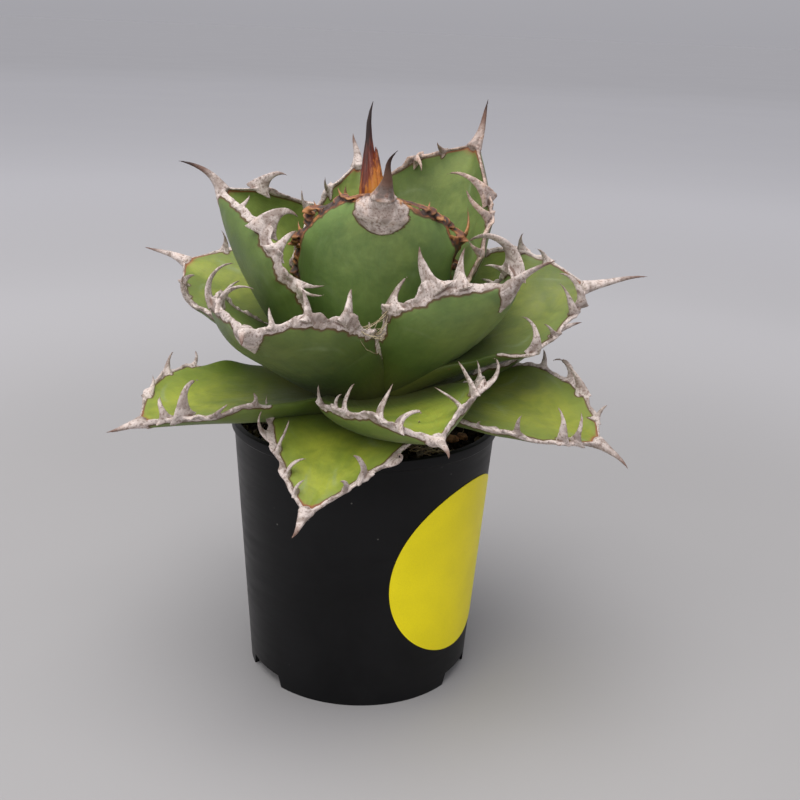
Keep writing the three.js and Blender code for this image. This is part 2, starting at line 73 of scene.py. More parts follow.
import bmesh
import bpy
import numpy as np
from bpy.props import FloatProperty, FloatVectorProperty, IntProperty, PointerProperty
from mathutils import Euler, Matrix, Vector, kdtree, noise
from mathutils.bvhtree import BVHTree

MM = 0.001
FULL_TURN = 2 * math.pi
GOLDEN_SHARE = 0.618

pot_low, pot_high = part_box("pot")
AXIS = np.array([(pot_low.x + pot_high.x) / 2, (pot_low.y + pot_high.y) / 2, 0.0]) / MM
POT_HEIGHT = pot_high.z
RIM_RADIUS = (pot_high.x - pot_low.x) / 2
SOIL_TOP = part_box("soil")[1].z

# Rosette, in millimetres and degrees
GOLDEN_ANGLE = 137.5
FIRST_HEADING = -88
INNER_RADIUS = 5
RADIUS_STEP = 0.35
INNER_HEIGHT = 106.5
HEIGHT_STEP = 1.05
CROWN_SHARE = 0.25
BASE_WIDTH_SHARE = 0.55
TIP_WIDTH_SHARE = 0.06
BASE_THICKNESS_SHARE = 0.33
TIP_THICKNESS = 2.4
BUD_RANKS = -2

# Horn, in millimetres
TOOTH_STEPS = 18
TOOTH_ROOT = 1.4
TIP_HOOK = 60
SPINE_STEPS = 24
SPINE_ROOT = 1.5
SPINE_HALF_WIDTH = 1.55
SPINE_POINT = 0.14
PATCH_YOUNG = 0.1
PATCHED_SPINE_YOUNG = 0.6
HORN_END = 0.995
BORDER_REACH = 0.7
SHEET_WELD = 0.0001
GRAIN_HEIGHT = 0.06

# Bud, in metres, and in millimetres for its point. Each sheath of the point has its share of the height,
# stops of width, lean and forward shift along it, and the angle of its seam.
BUD_FADE_FOOT = 0.160
BUD_FADE = 0.033
BUD_SHADE = 0.008
BUD_RADIUS = 4.4
BUD_SHEATHS = (
    (1.0, ((0, 0.7), (0.3, 1), (0.6, 1), (0.67, 0.95), (0.73, 0.74), (0.81, 0.39), (0.86, 0.24),
           (0.92, 0.17), (0.965, 0.09), (1, 0.02)),
     ((0, 0), (0.68, -0.1), (0.81, -1.4), (0.92, -1.7), (0.965, -1.3), (1, -0.6)), ((0, 0), (1, 0)), 1.9),
    (0.83, ((0, 0.3), (0.6, 0.42), (0.75, 0.42), (0.88, 0.28), (0.96, 0.14), (1, 0.02)),
     ((0, 1.5), (0.72, 2.9), (0.85, 2.0), (1, 0.6)), ((0, -1.5), (0.75, -2.2), (1, -0.7)), 0.4),
)

# Pot, label and soil, in metres and degrees. A bark chip has its half lengths, and then its place and turn.
RIM_STEP = 0.0007
FLOOR_THICKNESS = 0.0015
MIDDLE_HOLE = 0.006
BEVEL = 0.00028
NOTCHES = 3
FIRST_NOTCH = -144
NOTCH_HALF_FOOT = 0.0095
NOTCH_HALF_TOP = 0.008
DRAIN_HOLES = 6
DRAIN_RADIUS = 0.0035
DRAIN_CIRCLE = 0.022
SHARP_ANGLE = 35
LABEL_GAP = 0.00004
SOIL_RADIUS = RIM_RADIUS - 0.0026
SOIL_DEPTH = 0.014
BARK_CHIP = (0.0042, 0.0020, 0.0013, 1)
BARK_CHIPS = ((0.0285, -0.006, 0.4), (0.0335, -0.001, 1.7))
ROOTS = 30
FIRST_RIM_ROOT = 22
ROOT_STEP = 0.0011
WELD = 1e-6

# Stage, in metres, degrees and watts
LIGHTS = (
    ("top_light", (-0.12, -0.18, 1.05), 10.0, (1.0, 0.99, 0.97)),
    ("front_light", (-0.45, -0.95, 0.65), 4.0, (1.0, 0.99, 0.98)),
)
LIGHT_TARGET = (0, 0, 0.10)
LIGHT_SIZE = 0.9
HORIZON_COLOUR = (0.373, 0.368, 0.396, 1)
SKY_COLOUR = (0.62, 0.62, 0.64, 1)
CAMERA_PLACE = (0.00617, -0.36478, 0.21633)
CAMERA_TARGET = (0.00617, -0.003, 0.09528)
CAMERA_ROLL = 2.4


# ---- the leaves' shapes ----

def tooth(margin, place, length, lean, hook, lift, curl, wide=1.0):
    """margin 1 is the clockwise side seen from above, -1 the other. place is along the blade, lean toward
    its tip, hook the change of lean, lift out of the blade's plane, curl the change of lift, wide the
    share of the usual width."""
    return dict(locals())


def common_teeth(margin, count, offset, first=0.32, last=0.94):
    """Teeth of a margin that follows no special order: golden-ratio fractions vary them."""
    teeth = []
    for i in range(count):
        vary = ((i + offset) * GOLDEN_SHARE) % 1
        place = first + (last - first) * (i + 0.3 + 0.4 * vary) / count
        teeth.append(tooth(margin, place, 6 + 5 * vary, 25 * vary - 15, 80 * vary - 40, 30 + 35 * vary, 30))
    return teeth


def shape(drift, rise, tip_rise, long, half, cup, tip_cup, sway, twist, widest, fullness,
          spine, spine_up, spine_aside, teeth, band=1.5, young=0.0, wave=0.7, radius=None,
          ridge=1.1, ridge_turn=0.5, ridge_sway=0.0, horn_from=0.36, spine_foot=0.9, spine_sway=0.3,
          patch=(5.5, 2.0, 1.0), dark_point=0.68, dark_spread=1.0, tone=1.0, sunlit=1.0):
    """drift: turn away from the spiral; rise, tip_rise: slope at base and tip; long, half: length and
    half width; cup, tip_cup: half angle that the blade is rolled through; sway, twist: turn and roll
    gained along it; widest, fullness: outline of the outer half; band: how far the horn reaches down the
    lower face; young: 1 for fresh brown horn, 0 for weathered horn; wave: height of the margin's ripple;
    ridge: how far the horn stands out past the margin; ridge_turn, ridge_sway: how much it twists and
    wanders; horn_from: where along the margin it starts; spine_foot: extra half width at the spine's
    foot; spine_sway: its side-to-side bend; patch: reach, half width and bluntness of the horn that hangs
    from the tip down the lower face; dark_point, dark_spread: how dark the spine's point is and how
    evenly it gets so; tone: lightness of the skin; sunlit: painted light, how much lighter still its
    upper face is painted where the lamps leave it in shade."""
    return dict(locals())


BUD_LEAVES = [
    shape(0, 89, 95, 57, 11, 105, 115, 0, 0, 0.4, 1.6, 14, 4, 0, [], 1.0, 1.0, 0.3, 4.6),
    shape(0, 86, 84, 50, 16, 105, 110, 0, 0, 0.4, 1.6, 8, 6, 0, [], 1.2, 1.0, 0.5, 8),
]
LEAVES = [
    shape(9, 78, 67, 63.5, 27.8, 48, 54.5, -3, 11, 0.6, 2, 17, -4, -23,
          [tooth(1, 0.9, 8, 0, 0, 0, 20), tooth(1, 0.8, 8, 0, 0, 0, 20), tooth(1, 0.66, 9, 5, 0, 10, 25),
           tooth(1, 0.5, 8, 0, 20, 30, 20), tooth(-1, 0.88, 8, 0, 0, 15, 25),
           tooth(-1, 0.77, 9, 5, -35, 35, 15), tooth(-1, 0.66, 17, 15, 15, -20, 90, 1.1),
           tooth(-1, 0.48, 8, 0, 20, 40, 20)],
          band=2.4, young=0.95, wave=1.5, ridge=3.0, ridge_turn=1.6, ridge_sway=2.8, horn_from=0.24,
          spine_foot=2.6, spine_sway=-1.0, patch=(11.0, 8.4, 2.2), dark_point=1.0, dark_spread=0.55,
          tone=1.38),
    shape(-5, 61, 66, 81, 30, 26, 48, -19, -27, 0.6, 1.7, 16.5, 7, -15,
          [tooth(1, 0.8, 20, 35, -45, 95, 35, 0.85), tooth(1, 0.73, 16, 5, 25, 70, 30, 0.8),
           tooth(1, 0.58, 9, 0, 20, 50, 30), tooth(-1, 0.86, 12, 10, -60, 85, 60),
           tooth(-1, 0.93, 7, 10, 0, 40, 20), *common_teeth(-1, 4, 2, 0.35, 0.78)],
          band=1.4, young=0.3, ridge=1.3, horn_from=0.24, spine_foot=1.2, dark_point=1.0, tone=0.92),
    # The third leaf's upper face is painted lighter through sunlit, as painted light.
    shape(-15, 44, 63, 73, 33.2, 39, 85, 7, 16, 0.6, 1.8, 17.5, -54, -31,
          [tooth(1, 0.92, 13.5, 37, -57, 16, -7, 1.6), *common_teeth(1, 4, 1, 0.35, 0.8),
           tooth(-1, 0.77, 18.5, 38, -86, 55, 50, 1.5), tooth(-1, 0.67, 12, 19, -6, 58, 24, 1.3),
           tooth(-1, 0.57, 15, -59, 21, 27, 20, 0.8), tooth(-1, 0.49, 12, -38, 0, -21, 46, 0.7),
           tooth(-1, 0.9, 6, 20, 0, 30, 20)],
          band=2.5, wave=1.0, ridge=1.3, horn_from=0.24, spine_foot=1.4, patch=(9.0, 3.0, 1.0),
          dark_point=1.1, tone=0.9, sunlit=1.9),
    shape(6, 31, 47, 64, 26.5, 46, 64, -21, -2, 0.6, 1.9, 19, -25, -14,
          [tooth(1, 0.57, 13, 20, 50, 60, 25, 1.7), tooth(1, 0.8, 16, 4, 5, 35, -5, 2.1),
           tooth(1, 0.88, 13.2, 20, 15, 55, -10, 2.0), tooth(-1, 0.85, 26, 60, -130, 35, 70),
           tooth(-1, 0.8, 9, 0, -30, 60, 30), *common_teeth(-1, 3, 3, 0.35, 0.72)],
          band=2.6, wave=0.9, ridge=1.7, horn_from=0.24, spine_foot=1.4, patch=(9.0, 3.2, 1.0), tone=1.1),
    shape(0, 74, 68, 71, 26, 53, 37, 0, 4, 0.5, 1.6, 12, -5, -12,
          [tooth(-1, 0.75, 13, 15, 50, 5, 50), tooth(-1, 0.87, 11, 5, 5, 25, 35),
           *common_teeth(-1, 2, 1, 0.45, 0.68), *common_teeth(1, 5, 4, 0.4)],
          band=2.0),
    shape(-10, 27, 27, 72, 28.5, 47, 58, 30, 5, 0.6, 1.8, 9, -85, -25,
          [tooth(1, 0.78, 19, 35, -70, 5, 105, 0.85), tooth(1, 0.88, 17, 25, -15, 45, 110, 0.85),
           tooth(1, 0.6, 9, 0, -30, 40, 40), tooth(-1, 0.95, 7, 10, -25, 65, -10, 1.6),
           tooth(-1, 0.86, 10, 5, 25, 60, -10, 2.3), tooth(-1, 0.73, 13, -5, -5, 45, 10, 2.3),
           tooth(-1, 0.55, 4, 0, 20, 40, 20)],
          band=2.6, wave=1.0, ridge=1.5, horn_from=0.24, spine_foot=1.2, patch=(11.0, 4.4, 1.0), tone=0.78),
    shape(-8, 39, 19, 74, 28, 36, 20, -12, -42, 0.6, 1.8, 21, -6, 10,
          [tooth(1, 0.67, 16, 50, -90, 95, 45, 0.85), tooth(1, 0.95, 18, 30, -90, 100, 55, 0.75),
           tooth(1, 0.92, 14, 0, -5, 90, 40, 0.75), tooth(1, 0.8, 8, 0, -20, 60, 30),
           *common_teeth(-1, 6, 2)],
          horn_from=0.52, tone=0.74),
    shape(4, 39, 20, 72, 27, 44, 24, 0, 22, 0.6, 1.8, 17, -12, -13,
          [tooth(-1, 0.72, 15, 45, -40, 30, 40), tooth(-1, 0.88, 10, -5, -45, 50, 25),
           tooth(-1, 0.8, 7, 0, 30, 40, 20), *common_teeth(-1, 2, 5, 0.4, 0.66), *common_teeth(1, 6, 1)],
          tone=0.9),
    shape(-1, 4.5, 9, 60, 27, 21, 54, -3, -9, 0.5, 1.6, 13.5, -24, 14,
          [tooth(1, 0.63, 9, 11, 45, 23, 81, 0.9), tooth(1, 0.67, 12, 1, 33, 62, 18, 0.9),
           tooth(1, 0.82, 12, 4, -7, 69, 21, 1.4), tooth(1, 0.89, 14, 9, 81, 81, 36, 1.1),
           tooth(1, 0.47, 8, 0, 20, 40, 20), tooth(-1, 0.71, 19, 24, -112, -39, 95, 0.8),
           tooth(-1, 0.74, 13, -12, -23, 66, -12, 1.3), tooth(-1, 0.84, 12, -35, 3, 79, 15, 0.9),
           tooth(-1, 0.55, 8, 0, -20, 40, 20)],
          band=1.8, ridge=1.4, patch=(7.0, 2.6, 1.0), tone=1.12),
    shape(0, 24, 4, 68, 25, 34, 26, 4, 6, 0.5, 1.6, 13, -4, 5,
          [*common_teeth(1, 6, 3), *common_teeth(-1, 6, 6)]),
    shape(3, 12, -5, 72, 25, 32, 26, 12, 0, 0.6, 1.8, 12, 2, 0,
          [tooth(-1, 0.89, 16, 20, -100, 65, 35, 1.3), tooth(-1, 0.94, 9, 15, -45, 90, 50, 1.2),
           tooth(-1, 0.8, 9, 0, -30, 10, 20), tooth(-1, 0.65, 8, 0, 30, 20, 20),
           tooth(1, 0.89, 9.5, -50, 30, 25, 5, 0.9), tooth(1, 0.73, 9.5, -15, -20, 35, 5, 0.9),
           tooth(1, 0.61, 8, -65, 75, 35, -10, 0.9)],
          horn_from=0.56),
    shape(-4, 18, -17, 73.5, 25, 22, 18, -12, -12, 0.6, 1.7, 13, -22, 13,
          [tooth(1, 0.66, 15, -40, 65, -10, 60, 0.8), tooth(1, 0.74, 9, 0, 0, 50, 30, 1.1),
           tooth(1, 0.9, 13.5, 0, -45, 75, 30), tooth(1, 0.94, 12, 5, -20, 75, 30, 0.9),
           tooth(-1, 0.73, 14, 10, -140, 35, 15, 0.8),
           tooth(-1, 0.82, 14, -30, -30, 50, 20), tooth(-1, 0.93, 7, 0, 20, 40, 20),
           tooth(-1, 0.6, 8, 0, -20, 40, 20), tooth(-1, 0.47, 8, 0, 20, 40, 20)],
          tone=0.8),
    shape(0, 16, -6, 70, 25, 30, 22, -4, 4, 0.55, 1.6, 12, -4, -6,
          [*common_teeth(1, 6, 5), *common_teeth(-1, 6, 2)]),
    shape(5, 16, -34, 63, 23, 32, 22, -14, 5, 0.5, 1.4, 10, 6, 10,
          [tooth(1, 0.65, 14, 30, -45, 15, 90, 0.8), tooth(1, 0.73, 12, -25, -15, 105, -45, 0.8),
           tooth(1, 0.85, 10, -40, 35, 95, 50, 0.9), tooth(1, 0.93, 7, -20, 0, 90, 30, 0.9),
           tooth(1, 0.55, 8, 0, -20, 40, 20), tooth(-1, 0.67, 15, 15, 20, -10, 120, 0.8),
           tooth(-1, 0.79, 11, -15, 35, 70, 30, 1.4), tooth(-1, 0.86, 8, 0, 40, 60, 30),
           tooth(-1, 0.48, 8, 0, 20, 40, 20)]),
    shape(-7, 25, 12, 69, 24, 35, 25, -8, 0, 0.5, 1.6, 11, -3, 0,
          [*common_teeth(1, 6, 4), *common_teeth(-1, 6, 1)]),
]


# ---- leaf geometry ----

def mix(a, b, share):
    return a + (b - a) * share


def bent(direction, toward, angle):
    return direction * np.cos(angle)[..., None] + toward * np.sin(angle)[..., None]


def bell(x, width):
    return np.exp(-(x / width) ** 2)


def rough(x, seed):
    """Smooth irregular values between about -1 and 1."""
    return (0.5 * np.sin(0.62 * x + 2.3 * seed) + 0.35 * np.sin(1.43 * x + 4.1 * seed)
            + 0.22 * np.sin(3.1 * x + 1.7 * seed))


def place_leaf(data, rank):
    leaf = dict(data)
    leaf["rank"] = rank
    leaf["heading"] = FIRST_HEADING + GOLDEN_ANGLE * rank + data["drift"]
    radius = INNER_RADIUS + RADIUS_STEP * rank if data["radius"] is None else data["radius"]
    height = INNER_HEIGHT - HEIGHT_STEP * rank
    heading = math.radians(leaf["heading"])
    foot = np.array([radius * math.cos(heading), radius * math.sin(heading), height])
    steps = 40
    along = leaf_frame(leaf, (np.arange(steps) + 0.5) / steps)[0]
    leaf["path"] = np.vstack([foot, foot + np.cumsum(along * leaf["long"] / steps, axis=0)])
    return leaf


def leaf_frame(leaf, t):
    """Which way the midrib, the blade's side and its upper face point at share t of the length."""
    heading = np.radians(leaf["heading"] + leaf["sway"] * t)
    slope = np.radians(mix(leaf["rise"], leaf["tip_rise"], t))
    roll = np.radians(leaf["twist"] * t)
    along = np.stack([np.cos(slope) * np.cos(heading), np.cos(slope) * np.sin(heading), np.sin(slope)], -1)
    level = np.stack([np.sin(heading), -np.cos(heading), 0 * heading], -1)
    side = bent(level, np.cross(level, along), roll)
    return along, side, np.cross(side, along)


def midrib(leaf, t):
    path = leaf["path"]
    places = np.linspace(0, 1, len(path))
    return np.stack([np.interp(t, places, path[:, k]) for k in range(3)], -1)


def half_width(leaf, t):
    opening = mix(BASE_WIDTH_SHARE, 1, np.sin(math.pi / 2 * np.minimum(t / leaf["widest"], 1)))
    past = np.clip((t - leaf["widest"]) / (1 - leaf["widest"]), 0, 1)
    return leaf["half"] * opening * (1 - (1 - TIP_WIDTH_SHARE) * past ** leaf["fullness"])


def thickness(leaf, t):
    return mix(leaf["half"] * BASE_THICKNESS_SHARE, TIP_THICKNESS, t * t)


def margin_swell(leaf, t, across):
    """The margin stands out under each tooth and draws in between."""
    swell = np.zeros_like(t)
    for row in leaf["teeth"]:
        rise = bell((t - row["place"]) * leaf["long"], 2.6) * (0.5 + 0.06 * row["length"])
        swell += np.where(across * row["margin"] > 0, rise, 0)
    return (swell - 0.3) * np.abs(across) ** 8


def margin_ripple(leaf, t, across):
    phase = leaf["rank"] * 1.9 + np.where(across > 0, 0.0, 2.4)
    wave = np.sin(t * leaf["long"] / 4.1 + phase) + 0.5 * np.sin(t * leaf["long"] / 2.3 + 2 * phase)
    ends = np.clip((t - 0.2) * 4, 0, 1) * np.clip((1 - t) * 6, 0, 1)
    return leaf["wave"] * wave * np.abs(across) ** 6 * ends


def print_marks(leaf, t, turn):
    """Low swellings, and the arcs that the neighbours' margins pressed into the blade in the bud."""
    across = np.cos(turn)
    run = t * leaf["long"]
    seed = leaf["rank"] + 3
    swell = 0.3 * np.sin(run / 6.5 + 3 * across + seed) * np.sin(4 * across + 2 * seed)
    lines = 0
    for k in range(4):
        centre = leaf["long"] * (0.38 + 0.14 * k) + 3 * np.sin(seed * (k + 2))
        aside = (0.55 if (k + seed) % 2 else -0.55) + 0.15 * np.sin(3 * seed + k)
        ahead, beside = run - centre, 1.1 * leaf["half"] * (across - aside)
        reach = np.hypot(ahead, beside) + 0.5 * np.sin(run / 2.1 + k)
        heading = np.arctan2(beside, ahead) - 1.5 * np.sin(2 * seed + k)
        fade = bell(np.sin(heading / 2), 0.42)
        lines = lines + fade * (bell(reach - 9, 1.1) + 0.5 * bell(reach - 11.5, 0.8))
    return swell * (1 - np.abs(across) ** 6), lines * (1 - np.abs(across) ** 6)


def surface(leaf, t, turn):
    """Points of the blade at shares t of its length and angles turn round its section."""
    t, turn = np.broadcast_arrays(np.clip(np.asarray(t, float), 0, 1), np.asarray(turn, float))
    _, side, up = leaf_frame(leaf, t)
    across = np.cos(turn)
    face = np.sin(turn)
    cup = np.radians(mix(leaf["cup"], leaf["tip_cup"], t))
    bend = (half_width(leaf, t) + margin_swell(leaf, t, across)) / cup
    share = np.where(face > 0, CROWN_SHARE, 1 - CROWN_SHARE)
    swell, lines = print_marks(leaf, t, turn)
    off = share * thickness(leaf, t) * face + (swell - 0.13 * lines) * face
    tilt = cup * across
    reach = bend * np.sin(tilt) - off * np.sin(tilt)
    lift = bend * (1 - np.cos(tilt)) + off * np.cos(tilt) + margin_ripple(leaf, t, across)
    return midrib(leaf, t) + side * reach[..., None] + up * lift[..., None]


def outward(leaf, t, turn):
    step = 2e-3
    ahead = surface(leaf, t + step, turn) - surface(leaf, t - step, turn)
    round_ = surface(leaf, t, turn + step) - surface(leaf, t, turn - step)
    normal = np.cross(ahead, round_)
    return normal / (np.linalg.norm(normal, axis=-1, keepdims=True) + 1e-9)


def edge_angle(leaf, t, distance, margin, face):
    """Angle round the section from the margin to a distance from it, on the upper (1) or lower (-1) face."""
    steps = np.linspace(0, 1.5, 31)
    start = 0 if margin > 0 else math.pi
    points = surface(leaf, t[:, None], start + face * margin * steps[None])
    arcs = np.cumsum(np.linalg.norm(np.diff(points, axis=1), axis=-1), axis=1)
    arcs = np.hstack([np.zeros((len(t), 1)), arcs])
    return np.array([np.interp(d, arc, steps) for d, arc in zip(distance, arcs)])


# ---- horn ----

def closed_ends(rows):
    first = np.broadcast_to(rows[0].mean(0), rows[0].shape)
    last = np.broadcast_to(rows[-1].mean(0), rows[-1].shape)
    return np.concatenate([first[None], rows, last[None]])


def horn_part(rows, point, rim=None):
    """A closed body of horn with its marks: point runs from 0 at the foot to 1 at a tip, rim is 1 where the
    horn thins out on the skin."""
    rim = np.zeros(rows.shape[:2]) if rim is None else rim
    return dict(rows=rows, point=np.hstack([point[:1], point, point[-1:]]), rim=rim)


def layer(leaf, t, low, high, height, depth=0.55, columns=10):
    """A thin closed layer of horn on the blade between the angles low and high of its section."""
    share = np.linspace(0, 1, columns)
    turn = low[:, None] + (high - low)[:, None] * share
    points = surface(leaf, t[:, None], turn)
    normal = outward(leaf, t[:, None], turn)
    crest = np.sin(np.pi * share) ** 0.5
    outer = points + normal * (height[:, None] * crest - 0.12)[..., None]
    inner = points - normal * depth
    rows = closed_ends(np.concatenate([outer, inner[:, ::-1]], axis=1))
    rim = np.clip(np.abs(2 * share - 1) * 3 - 2, 0, 1)
    return horn_part(rows, 0 * t, np.tile(np.hstack([rim, rim]), (len(rows), 1)))


def margin_band(leaf, margin):
    """The horn along one margin: ragged on the lower face, wider under each tooth."""
    start = leaf["horn_from"]
    t = np.linspace(start, HORN_END, int(leaf["long"] * 2.2))
    run = t * leaf["long"]
    seed = leaf["rank"] * 2.0 + margin
    under = leaf["band"] * (0.8 + 0.4 * rough(run, seed))
    over = 0.9 * (0.9 + 0.35 * rough(run, seed + 9))
    for row in leaf["teeth"]:
        if row["margin"] == margin:
            close = bell(run - row["place"] * leaf["long"], 2.4 + 0.12 * row["length"])
            under = under + close * 0.05 * row["length"]
            over = over + close * 0.5
    fade = np.clip((t - start) * 6, 0.15, 1)
    under = np.maximum(under, 0.5) * fade
    over = np.maximum(over, 0.4) * fade
    edge = 0 if margin > 0 else math.pi
    low = edge - margin * edge_angle(leaf, t, under, margin, -1)
    high = edge + margin * edge_angle(leaf, t, over, margin, 1)
    height = (0.42 + 0.14 * rough(run, seed + 4)) * (0.4 + 0.6 * fade)
    if margin < 0:
        low, high = high, low
    return layer(leaf, t, low, high, height)


def margin_ridge(leaf, margin):
    """The rope of horn that stands out past the margin, with a web up each tooth."""
    start = leaf["horn_from"]
    t = np.linspace(start, HORN_END, int(leaf["long"] * 1.7))
    run = t * leaf["long"]
    seed = leaf["rank"] * 3.0 + 2 * margin
    rise = leaf["ridge"] * (0.8 + 0.28 * rough(run, seed))
    for row in leaf["teeth"]:
        if row["margin"] == margin:
            reach = 1.1 + 0.09 * row["length"] * row["wide"]
            near = bell(run - row["place"] * leaf["long"], reach)
            rise = rise + near * 0.085 * row["length"] * row["wide"]
    rise = np.maximum(rise, 0.5) * np.clip((t - start) * 7, 0.2, 1) * np.clip((1 - t) * 9, 0.55, 1)
    edge, along, out, above = margin_frame(leaf, t, margin)
    twist = leaf["ridge_turn"] * rough(run, seed + 6)
    broad_way, thin_way = bent(out, above, twist), bent(above, -out, twist)
    wave = (0.5 + 0.5 * np.sin(run / 2.0 + seed + rough(run, seed))) ** 2
    wander = leaf["ridge_sway"] * wave * np.clip((1 - t) * 9, 0, 1)
    points = edge + out * (0.5 * rise - 0.35 + wander)[:, None]
    lift = (0.25 + 0.25 * leaf["ridge_sway"]) * leaf["ridge"] * rough(run, seed + 3)
    points = points + above * lift[:, None]
    thin = (0.45 + 0.1 * leaf["ridge"] + 0.12 * leaf["ridge_sway"]) * (1 + 0.22 * rough(1.2 * run, seed + 8))
    return horn_part(stroke(points, broad_way, thin_way, 0.5 * rise + 0.4, thin), 0 * t)


def stroke(points, broad_way, thin_way, broad, thin, sides=10):
    """A closed tapering tube along points, flattened in its own two directions."""
    turn = np.linspace(0, FULL_TURN, sides, endpoint=False)
    rows = (points[:, None] + broad_way[:, None] * (broad[:, None] * np.cos(turn))[..., None]
            + thin_way[:, None] * (thin[:, None] * np.sin(turn))[..., None])
    return closed_ends(rows)


def margin_frame(leaf, place, margin):
    """A margin's points at the shares place of the length, and the ways along it, out of it and above it."""
    t = np.asarray(place, float)
    along, side, up = leaf_frame(leaf, t)
    cup = np.radians(mix(leaf["cup"], leaf["tip_cup"], t))
    out = bent(side * margin, up, cup)
    above = bent(up, -side * margin, cup)
    edge = surface(leaf, t, np.array(0.0 if margin > 0 else math.pi))
    return edge, along, out, above


def curved_teeth(leaf):
    """Flat teeth with wide feet that curve to thin points."""
    steps = TOOTH_STEPS
    found = []
    for i, row in enumerate(leaf["teeth"]):
        edge, along, out, above = margin_frame(leaf, row["place"], row["margin"])
        share = (np.arange(steps) + 0.5) / steps
        tip_hook = TIP_HOOK * share ** 4 * math.copysign(1, row["hook"] + 0.1)
        lean = np.radians(row["lean"] + row["hook"] * share + tip_hook)
        lift = np.radians(row["lift"] + row["curl"] * share) * np.minimum(1, 0.5 + 1.5 * share)
        ahead = bent(bent(out, above, lift), along, lean)
        length = row["length"] + TOOTH_ROOT
        start = edge - out * TOOTH_ROOT
        points = np.vstack([start, start + np.cumsum(ahead * length / steps, axis=0)])
        ahead = np.vstack([ahead, ahead[-1]])
        share = np.linspace(0, 1, steps + 1)
        broad_way = along - ahead * (ahead @ along)[:, None]
        broad_way /= np.linalg.norm(broad_way, axis=1, keepdims=True)
        thin_way = np.cross(ahead, broad_way)
        wobble = 1 + 0.1 * np.sin(9 * share + 2.4 * i)
        tall, wide = row["length"], row["wide"]
        foot = (0.6 + 0.125 * tall) * wide * (0.85 + 0.3 * ((i * GOLDEN_SHARE) % 1))
        broad = (0.5 + 0.07 * tall * wide) * (1 - share) ** 0.75
        broad = broad + foot * np.exp(-share / (0.12 + 0.04 * wide))
        thin = (0.5 + 0.012 * tall) * (1 - share) ** 0.55 + 0.3 * np.exp(-share / 0.2)
        thin = thin * (0.4 + 0.6 * wide)
        keep = np.maximum(0.2, 1 - share ** 6)
        rows = stroke(points, broad_way, thin_way, broad * keep * wobble, thin * keep)
        found.append(horn_part(rows, 0.6 * share))
    return found


def end_spine(leaf):
    """The spine at the tip, with sides that run a little way down the margins."""
    steps = SPINE_STEPS
    along, side, up = leaf_frame(leaf, np.array(1.0))
    share = (np.arange(steps) + 0.5) / steps
    raised = bent(along, up, np.radians(leaf["spine_up"] * share))
    ahead = bent(raised, side, np.radians(leaf["spine_aside"] * share))
    start = leaf["path"][-1] - along * SPINE_ROOT
    foot = start + along * SPINE_ROOT
    points = np.vstack([start, foot, foot + np.cumsum(ahead * leaf["spine"] / steps, axis=0)])
    ahead = np.vstack([along, along, ahead])
    share = np.hstack([0.0, np.linspace(0, 1, steps + 1)])
    points = points + side * (leaf["spine_sway"] * np.sin(FULL_TURN * share) * np.sqrt(share))[:, None]
    side_way = side - ahead * (ahead @ side)[:, None]
    side_way /= np.linalg.norm(side_way, axis=1, keepdims=True)
    width = SPINE_HALF_WIDTH * (1 - share) ** 0.9 + leaf["spine_foot"] * np.exp(-share / 0.2) + SPINE_POINT
    width[0] = 1.2
    return horn_part(stroke(points, side_way, np.cross(ahead, side_way), width, 0.8 * width),
                     leaf["dark_point"] * share ** leaf["dark_spread"])


def tip_patch(leaf, reach, spread, bluntness):
    """A creased patch of horn that hangs from the tip down the middle of the lower face."""
    t = np.linspace(1 - reach / leaf["long"], 0.99, 30)
    drop = (1 - t) * leaf["long"] / reach
    half = spread * np.clip(1 - drop ** bluntness, 0, 1) ** (1 / bluntness) + 0.4
    half = half * (1 + 0.12 * rough(2 * (1 - t) * leaf["long"], leaf["rank"] + 5))
    width = half_width(leaf, t)
    angle = np.arcsin(np.clip(half / width, 0, 0.97))
    middle = 1.5 * math.pi
    height = 0.5 + 0.05 * spread + 0.09 * spread * bell(drop - 0.5, 0.16)
    return layer(leaf, t, middle - angle, middle + angle, height, columns=18)


# ---- meshes ----

def wrapped_sheet(bm, rows, marks=None):
    """Lays a grid over rows of points, the last column on the first, and welds it into a closed body."""
    count, around = rows.shape[:2]
    layers = {name: bm.verts.layers.float.new(name) for name in (marks or {})}
    verts = bmesh.ops.create_grid(bm, x_segments=around, y_segments=count - 1, size=1.0)["verts"]
    placed = ((rows + AXIS) * MM).tolist()
    values = {name: np.asarray(array, float).tolist() for name, array in (marks or {}).items()}
    for v in verts:
        column = round((v.co.x + 1) / 2 * around) % around
        row = round((v.co.y + 1) / 2 * (count - 1))
        v.co = placed[row][column]
        for name, key in layers.items():
            v[key] = values[name][row][column]
    bmesh.ops.remove_doubles(bm, verts=verts, dist=SHEET_WELD * MM)


def add_strand(bm, points, thin):
    """A thin round strand along points."""
    ahead = np.gradient(points, axis=0)
    ahead /= np.linalg.norm(ahead, axis=1, keepdims=True)
    level = np.cross(ahead, [0, 0, 1.0])
    wrapped_sheet(bm, stroke(points, level, np.cross(ahead, level), thin, thin, 6))


def spun_profile(points, steps, closed=False):
    """A new bmesh of a profile spun round the vertical axis."""
    bm = bmesh.new()
    line = [bm.verts.new(point) for point in points]
    for a, b in zip(line, line[1:] + (line[:1] if closed else [])):
        bm.edges.new((a, b))
    bmesh.ops.spin(bm, geom=list(bm.verts) + list(bm.edges), cent=(0, 0, 0), axis=(0, 0, 1),
                   angle=FULL_TURN, steps=steps, use_merge=True)
    bmesh.ops.remove_doubles(bm, verts=bm.verts, dist=WELD)
    bmesh.ops.recalc_face_normals(bm, faces=bm.faces)
    return bm


def new_object(name, mesh, material=None, smooth=True):
    obj = bpy.data.objects.new(name, mesh)
    bpy.context.scene.collection.objects.link(obj)
    if material is not None:
        mesh.materials.append(material)
    mesh.polygons.foreach_set("use_smooth", [smooth] * len(mesh.polygons))
    return obj


